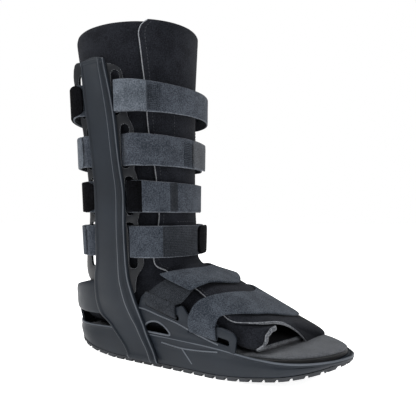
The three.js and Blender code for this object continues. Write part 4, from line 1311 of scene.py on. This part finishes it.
# Section, skew, lean, shift and how much squarer the lower half is
FOREFOOT_ROWS = [
    (11, 0, 0, 0, 0), (14, 0, 0, 0, 0.8), (15, 0.05, 0.05, 0, 1.2), (16, 0.15, 0.1, -0.01, 1.8),
    (17, 0.3, 0.17, -0.06, 3.6), (18, 0.46, 0.29, -0.13, 5), (20, 0.34, 0.66, -0.16, 5),
]
LINER_LAST = 18
SECTION_LAST = 20
SECTIONS = [(index, *row, *read_row(FOREFOOT_ROWS, index, True)) for index, row in enumerate(LINER_ROWS)]


def liner_place(section, turn, stand):
    front_at, front_up, back_at, back_up, half_share, square, skew, lean, shift, squarer = section
    front = Vector((front_at * SOLE_LENGTH, 0, front_up * BOOT_HEIGHT))
    back = Vector((back_at * SOLE_LENGTH, 0, back_up * BOOT_HEIGHT))
    middle = (front + back) / 2
    axis = (front - back) / 2
    reach = axis.length
    axis = axis * ((reach + stand) / reach)
    half = half_share * CALF_WIDTH / 2 + stand
    cos = math.cos(turn)
    sin = math.sin(turn)
    power = 2 / (square + (squarer if cos < 0 else 0))
    along = math.copysign(abs(cos) ** power, cos)
    across = math.copysign(abs(sin) ** power, sin)
    place = middle + axis * along
    place.y = half * across
    place.x += skew * place.y
    place.z -= lean * place.y * (1 + along) / 2
    place.y += shift * CALF_WIDTH / 2
    return place


LINER_RINGS = 150
LINER_SIDES = 112
WALL_CHANGE = (6, 8)
DENT_DEPTH = 0.45
FINE_DENT_DEPTH = 0.18
CREASE_DEPTH = 0.8
ANKLE_PINCH = 0.6
ANKLE_SECTION = 8.6
ANKLE_REACH = 1.8


def liner_folds(index, turn):
    """Soft dents and creases of the foam, in millimetres inwards."""
    wave = noise.noise(Vector((index * 0.55, math.cos(turn) * 1.6, math.sin(turn) * 1.6)))
    fine = noise.noise(Vector((index * 2.1, math.cos(turn) * 4, math.sin(turn) * 4 + 7)))
    ankle = math.exp(-((index - ANKLE_SECTION) / ANKLE_REACH) ** 2)
    crease = ankle * math.sin(index * 5.2 + math.cos(turn) * 2) * max(0, abs(math.sin(turn)) - 0.25)
    dents = -DENT_DEPTH + DENT_DEPTH * wave + FINE_DENT_DEPTH * fine
    return dents + CREASE_DEPTH * crease - ANKLE_PINCH * ankle


ROOF_CUT = 1.5
ROOF_EDGE = 40
ROOF_RAMP = 22
WALL_LEAN = 1.1
WALL_LEAN_TURN = -66
WALL_LEAN_REACH = (8, 62)


def liner_last(turn):
    """The last section at a turn: the roof over the toes ends under the flap, the near wall leans on."""
    degrees = (math.degrees(turn) + 180) % 360 - 180
    roof = ROOF_CUT * (1 - smoothstep(abs(degrees), ROOF_EDGE - ROOF_RAMP, ROOF_EDGE))
    lean = WALL_LEAN * (1 - smoothstep(abs(degrees - WALL_LEAN_TURN), *WALL_LEAN_REACH))
    return LINER_LAST - roof + lean


LINER_ROUND = (1.6, 0.5, 0.1)
SECTION_STEPS = 600


def liner_mesh():
    outer = []
    inner = []
    sections = [read_row(SECTIONS, index) for index in spread(0, SECTION_LAST, SECTION_STEPS)]
    for i in range(LINER_RINGS + 1):
        ends = min(i, LINER_RINGS - i)
        round_off = LINER_ROUND[ends] if ends < len(LINER_ROUND) else 0
        out_ring = []
        in_ring = []
        for k in range(LINER_SIDES):
            turn = 2 * math.pi * k / LINER_SIDES
            index = liner_last(turn) * i / LINER_RINGS
            section = sections[round(SECTION_STEPS * index / SECTION_LAST)]
            wall = mix(CALF_WALL, FOOT_WALL, smoothstep(index, *WALL_CHANGE))
            out_ring.append(liner_place(section, turn, liner_folds(index, turn) - round_off))
            in_ring.append(liner_place(section, turn, -wall + round_off))
        outer.append(out_ring)
        inner.append(in_ring)
    return ring_mesh("liner_fine", outer + inner[::-1], closed=True)


liner = finish_piece("liner_foam", liner_mesh(), FOAM_CLOTH, ["liner"], 60)

# The front flap: the degrees where it starts on the right and ends on the left at each section
FLAP_TURNS = [
    (0, -49.5, 80), (0.12, -52.5, 80), (0.3, -55.5, 80), (0.65, -57.5, 80), (1, -57, 80), (2, -55, 80),
    (3, -52, 80), (4, -51, 80), (5, -46, 80), (6, -45, 80), (7, -52, 75), (8, -53, 70), (9, -44, 70),
    (10, -43, 70), (11, -42, 70), (12, -44, 71), (13, -48, 72), (14, -56, 74), (15, -66, 76),
    (16, -77, 78), (17, -67, 80), (18, -45, 84), (19, -7, 76), (20, 24, 66),
]
FLAP_STEPS = 56
FLAP_ROWS = 170
FLAP_FOLDS = 0.8
flap_indexes = spread(0, SECTION_LAST, FLAP_ROWS)
flap_rows = []
for index in flap_indexes:
    section = read_row(SECTIONS, index)
    row = []
    for degrees in spread(*read_row(FLAP_TURNS, index), FLAP_STEPS):
        turn = math.radians(degrees)
        stand = FLAP_GAP + FLAP_THICKNESS / 2 + (liner_folds(index, turn) + DENT_DEPTH) * FLAP_FOLDS
        row.append(liner_place(section, turn, stand))
    flap_rows.append(row)
flap = finish_piece("flap_foam", slab_mesh("flap_fine", flap_rows, FLAP_THICKNESS), FOAM_CLOTH,
                    ["front_flap"], 60)


# Bindings along the cloth edges
def over_cloth(index, degrees, stand=0):
    """A place so far off the liner with its outward direction."""
    section = read_row(SECTIONS, index)
    turn = math.radians(degrees)
    out = (liner_place(section, turn, 3) - liner_place(section, turn, 0)).normalized()
    return liner_place(section, turn, stand), out


BRAID_SECTION = 13
CALF_ROWS = FLAP_ROWS * BRAID_SECTION // SECTION_LAST
RIM_START = -44
RIM_END = -300
RIM_STEPS = 120
edge = [row[0] for row in flap_rows]
outs = [over_cloth(index, read_table(FLAP_TURNS, index, 1))[1] for index in flap_indexes]
toe_outs = [over_cloth(SECTION_LAST, turn)[1] for turn in spread(*FLAP_TURNS[-1][1:], FLAP_STEPS)]
rim = []
for degrees in spread(RIM_START, RIM_END, RIM_STEPS):
    rim.append(over_cloth(liner_last(math.radians(degrees)), degrees, -FOOT_WALL / 2))
tube_piece("flap_binding", edge[:CALF_ROWS + 1], 1.1, 1.6, outs[:CALF_ROWS + 1], BINDING)
tube_piece("flap_toe_binding", edge[CALF_ROWS:], 1.0, 1.7, outs[CALF_ROWS:], BRAID)
tube_piece("toe_binding", flap_rows[-1], 1.0, 1.7, toe_outs, BRAID)
tube_piece("toe_rim_binding", [place for place, out in rim], 1.5, 1.9, [out for place, out in rim], BRAID)


# Seams and stitches on the flap
STITCH_STAND = 0.36


def flap_line(spots):
    """A line on the flap's face through spots, each with its section and degrees."""
    line = []
    for index, degrees in spots:
        folds = liner_folds(index, math.radians(degrees)) * FLAP_FOLDS
        line.append(over_cloth(index, degrees, FLAP_GAP + FLAP_THICKNESS + folds + STITCH_STAND))
    return line


EDGE_SEAM_INSET = 5
EDGE_SEAM_SECTIONS = (0.1, 16.3)
PANEL_TURNS = (-24, 26)
PANEL_SECTIONS = (3.2, 4.2)
QUILT_SECTIONS = (3.25, 4.15, 5.2, 6.2)
seam_lines = [flap_line([
    (index, read_table(FLAP_TURNS, index, 1) + EDGE_SEAM_INSET)
    for index in spread(*EDGE_SEAM_SECTIONS, 120)
])]
for degrees in PANEL_TURNS:
    seam_lines.append(flap_line([(index, degrees) for index in spread(*PANEL_SECTIONS, 39)]))
for index in QUILT_SECTIONS:
    seam_lines.append(flap_line([(index, degrees) for degrees in spread(*PANEL_TURNS, 59)]))
stitch_piece("flap_stitches", seam_lines, THREAD)

# Foot straps
SLOT_BEND = [
    (-1, 2.2), (-1, 0.75), (-0.72, 0.05), (0, -0.25), (0.72, 0.05), (1, 0.75), (1, 2.3),
]
ANCHOR_ROWS = [
    (78, 11.2, 13.2, 9.5), (60, 10.8, 13.4, 8.4), (46, 10.7, 13.5, 7.2), (38, 10.9, 13.3, 6.2),
]
INSTEP_ROWS = [
    (52, 9.5, 13.4, 13), (44, 9.6, 13.9, 11.2), (34, 9.9, 14.25, 9.6), (22, 10.6, 14.6, 8.2),
    (10, 11.5, 14.9, 7.4), (0, 11.9, 15.05, 7.2),
]
INSTEP_TAUT = 0.8
INSTEP_SLANT = 8
TOE_STRAP_ROWS = [
    (80, 13.9, 15.4, 7.6), (68, 14.2, 15.9, 7), (54, 14.7, 16.6, 6.8), (38, 15.2, 17.2, 6.6),
    (18, 15.6, 17.5, 6.5), (0, 15.8, 17.6, 6.5),
]
FOOT_LANES = 13


def through_slot(slot, start_share, end_share, side):
    """Rows of a strap that bends up through a wing's slot."""
    reach = (WING_THICKNESS + FOOT_STRAP_THICKNESS) / 2 + STRAP_CLEARANCE
    rows = []
    for out, up in SLOT_BEND:
        row = []
        for share in spread(start_share, end_share, FOOT_LANES - 1):
            x = SOLE_LENGTH * mix(slot[0], slot[2], share)
            y = wing_across(x, 1) - WING_THICKNESS / 2 + out * reach
            z = BOOT_HEIGHT * mix(slot[1], slot[3], share) + up * WING_SLOT_HEIGHT
            row.append(Vector((x, side * y, z)))
        rows.append(row)
    return rows


def over_liner(rows, side, taut=0, slant=0):
    """Rows of a strap over the liner; a taut strap runs straight across its width."""
    shares = spread(0, 1, FOOT_LANES - 1)
    made = []
    for count, (turn, rear, front, stand) in enumerate(rows):
        slanted = slant * max(0, 1 - count / 2)
        row = []
        for share in shares:
            section = read_row(SECTIONS, mix(rear, front, share), True)
            row.append(liner_place(section, math.radians(side * (turn + slanted * share)), stand))
        made.append([place.lerp(row[0].lerp(row[-1], share), taut) for place, share in zip(row, shares)])
    return made


def foot_strap_piece(name, rows, material, node):
    lanes = [curved([row[lane] for row in rows], 6) for lane in range(FOOT_LANES)]
    mesh = slab_mesh(name, [list(row) for row in zip(*lanes)], FOOT_STRAP_THICKNESS)
    finish_piece(name, mesh, material, [node])


for side in (-1, 1):
    name = f"{SIDE_NAMES[side]}_instep_anchor"
    rows = through_slot(INSTEP_SLOT, 0.05, 0.9, side) + over_liner(ANCHOR_ROWS, side)
    foot_strap_piece(f"{name}_cloth", rows, WOVEN, name)
halves = [over_liner(INSTEP_ROWS, side, INSTEP_TAUT, INSTEP_SLANT) for side in (-1, 1)]
foot_strap_piece("instep_webbing", halves[0] + halves[1][-2::-1], FOOT_LOOP, "instep_strap")
halves = [through_slot(TOE_SLOT, 0.06, 0.68, side) + over_liner(TOE_STRAP_ROWS, side) for side in (-1, 1)]
foot_strap_piece("toe_webbing", halves[0] + halves[1][-2::-1], FOOT_LOOP, "toe_strap")


# Footbed and insole
def at_insole(drop):
    return lambda s: insole_top(s) - drop


FOOTBED_DROP = INSOLE_THICKNESS + TOUCH_GAP
footbed = finish_piece("footbed_core", disc_mesh("footbed_core", [
    (FOOTBED_INSET, lambda s: tray_inside(s) + TOUCH_GAP),
    (FOOTBED_INSET, at_insole(FOOTBED_DROP + 0.8)),
    (FOOTBED_INSET + 0.8, at_insole(FOOTBED_DROP)),
]), FOAM, ["footbed_foam"])
insole = finish_piece("insole_sheet", disc_mesh("insole_sheet", [
    (INSOLE_INSET + 0.3, at_insole(INSOLE_THICKNESS)),
    (INSOLE_INSET, at_insole(INSOLE_THICKNESS - 0.5)),
    (INSOLE_INSET, at_insole(1.2)),
    (INSOLE_INSET + 0.4, at_insole(0.4)),
    (INSOLE_INSET + 1.2, at_insole(0)),
    (INSOLE_INSET + 8, at_insole(0)),
]), INSOLE_TOP, ["insole"])

# Floor, sky and lights
FLOOR_REACH = 6
FLOOR_GLOW = 0.85
FLOOR_TONES = (0.9, 0.94)
SKY_LIGHT = 0.26
floor_mesh = bpy.data.meshes.new("floor")
corners = ((-1, -1), (1, -1), (1, 1), (-1, 1))
floor_mesh.from_pydata([(x * FLOOR_REACH, y * FLOOR_REACH, 0) for x, y in corners], [], [(0, 1, 2, 3)])
floor = bpy.data.objects.new("floor", floor_mesh)
bpy.context.scene.collection.objects.link(floor)
floor_material, floor_tree, floor_shader = new_material("floor_paint")
floor_tones = [(place, (tone, tone, tone)) for place, tone in enumerate(FLOOR_TONES)]
link(floor_tree, add_ramp(floor_tree, add_noise(floor_tree, 3, 2), floor_tones),
     floor_shader.inputs["Base Color"])
floor_shader.inputs["Roughness"].default_value = 0.9
floor_shader.inputs["Emission Color"].default_value = (1, 1, 1, 1)
floor_shader.inputs["Emission Strength"].default_value = FLOOR_GLOW
floor_mesh.materials.append(floor_material)

world = bpy.data.worlds.new("sky")
bpy.context.scene.world = world
world.use_nodes = True
sky = world.node_tree.nodes["Background"]
sky.inputs["Color"].default_value = (1, 1, 1, 1)
seen = world.node_tree.nodes.new("ShaderNodeLightPath").outputs["Is Camera Ray"]
strength = add_math(world.node_tree, "MULTIPLY_ADD", seen, 1 - SKY_LIGHT)
strength.node.inputs[2].default_value = SKY_LIGHT
link(world.node_tree, strength, sky.inputs["Strength"])
bpy.context.scene.view_settings.view_transform = "Standard"


def area_light(name, place, target, size, power):
    data = bpy.data.lights.new(name, "AREA")
    data.size = size
    data.energy = power
    light = bpy.data.objects.new(name, data)
    bpy.context.scene.collection.objects.link(light)
    light.location = Vector(place)
    light.rotation_euler = (Vector(target) - Vector(place)).to_track_quat("-Z", "Y").to_euler()


area_light("key", (-0.9, -1.2, 1.3), (0, 0, 0.2), 0.5, 22)
area_light("fill", (1.3, -0.9, 0.7), (0, 0, 0.15), 1.0, 6.5)
area_light("top", (0.2, 0.1, 1.9), (0, 0, 0.1), 0.8, 20)
area_light("rim", (0.9, 1.1, 0.8), (0, 0, 0.2), 0.7, 10)
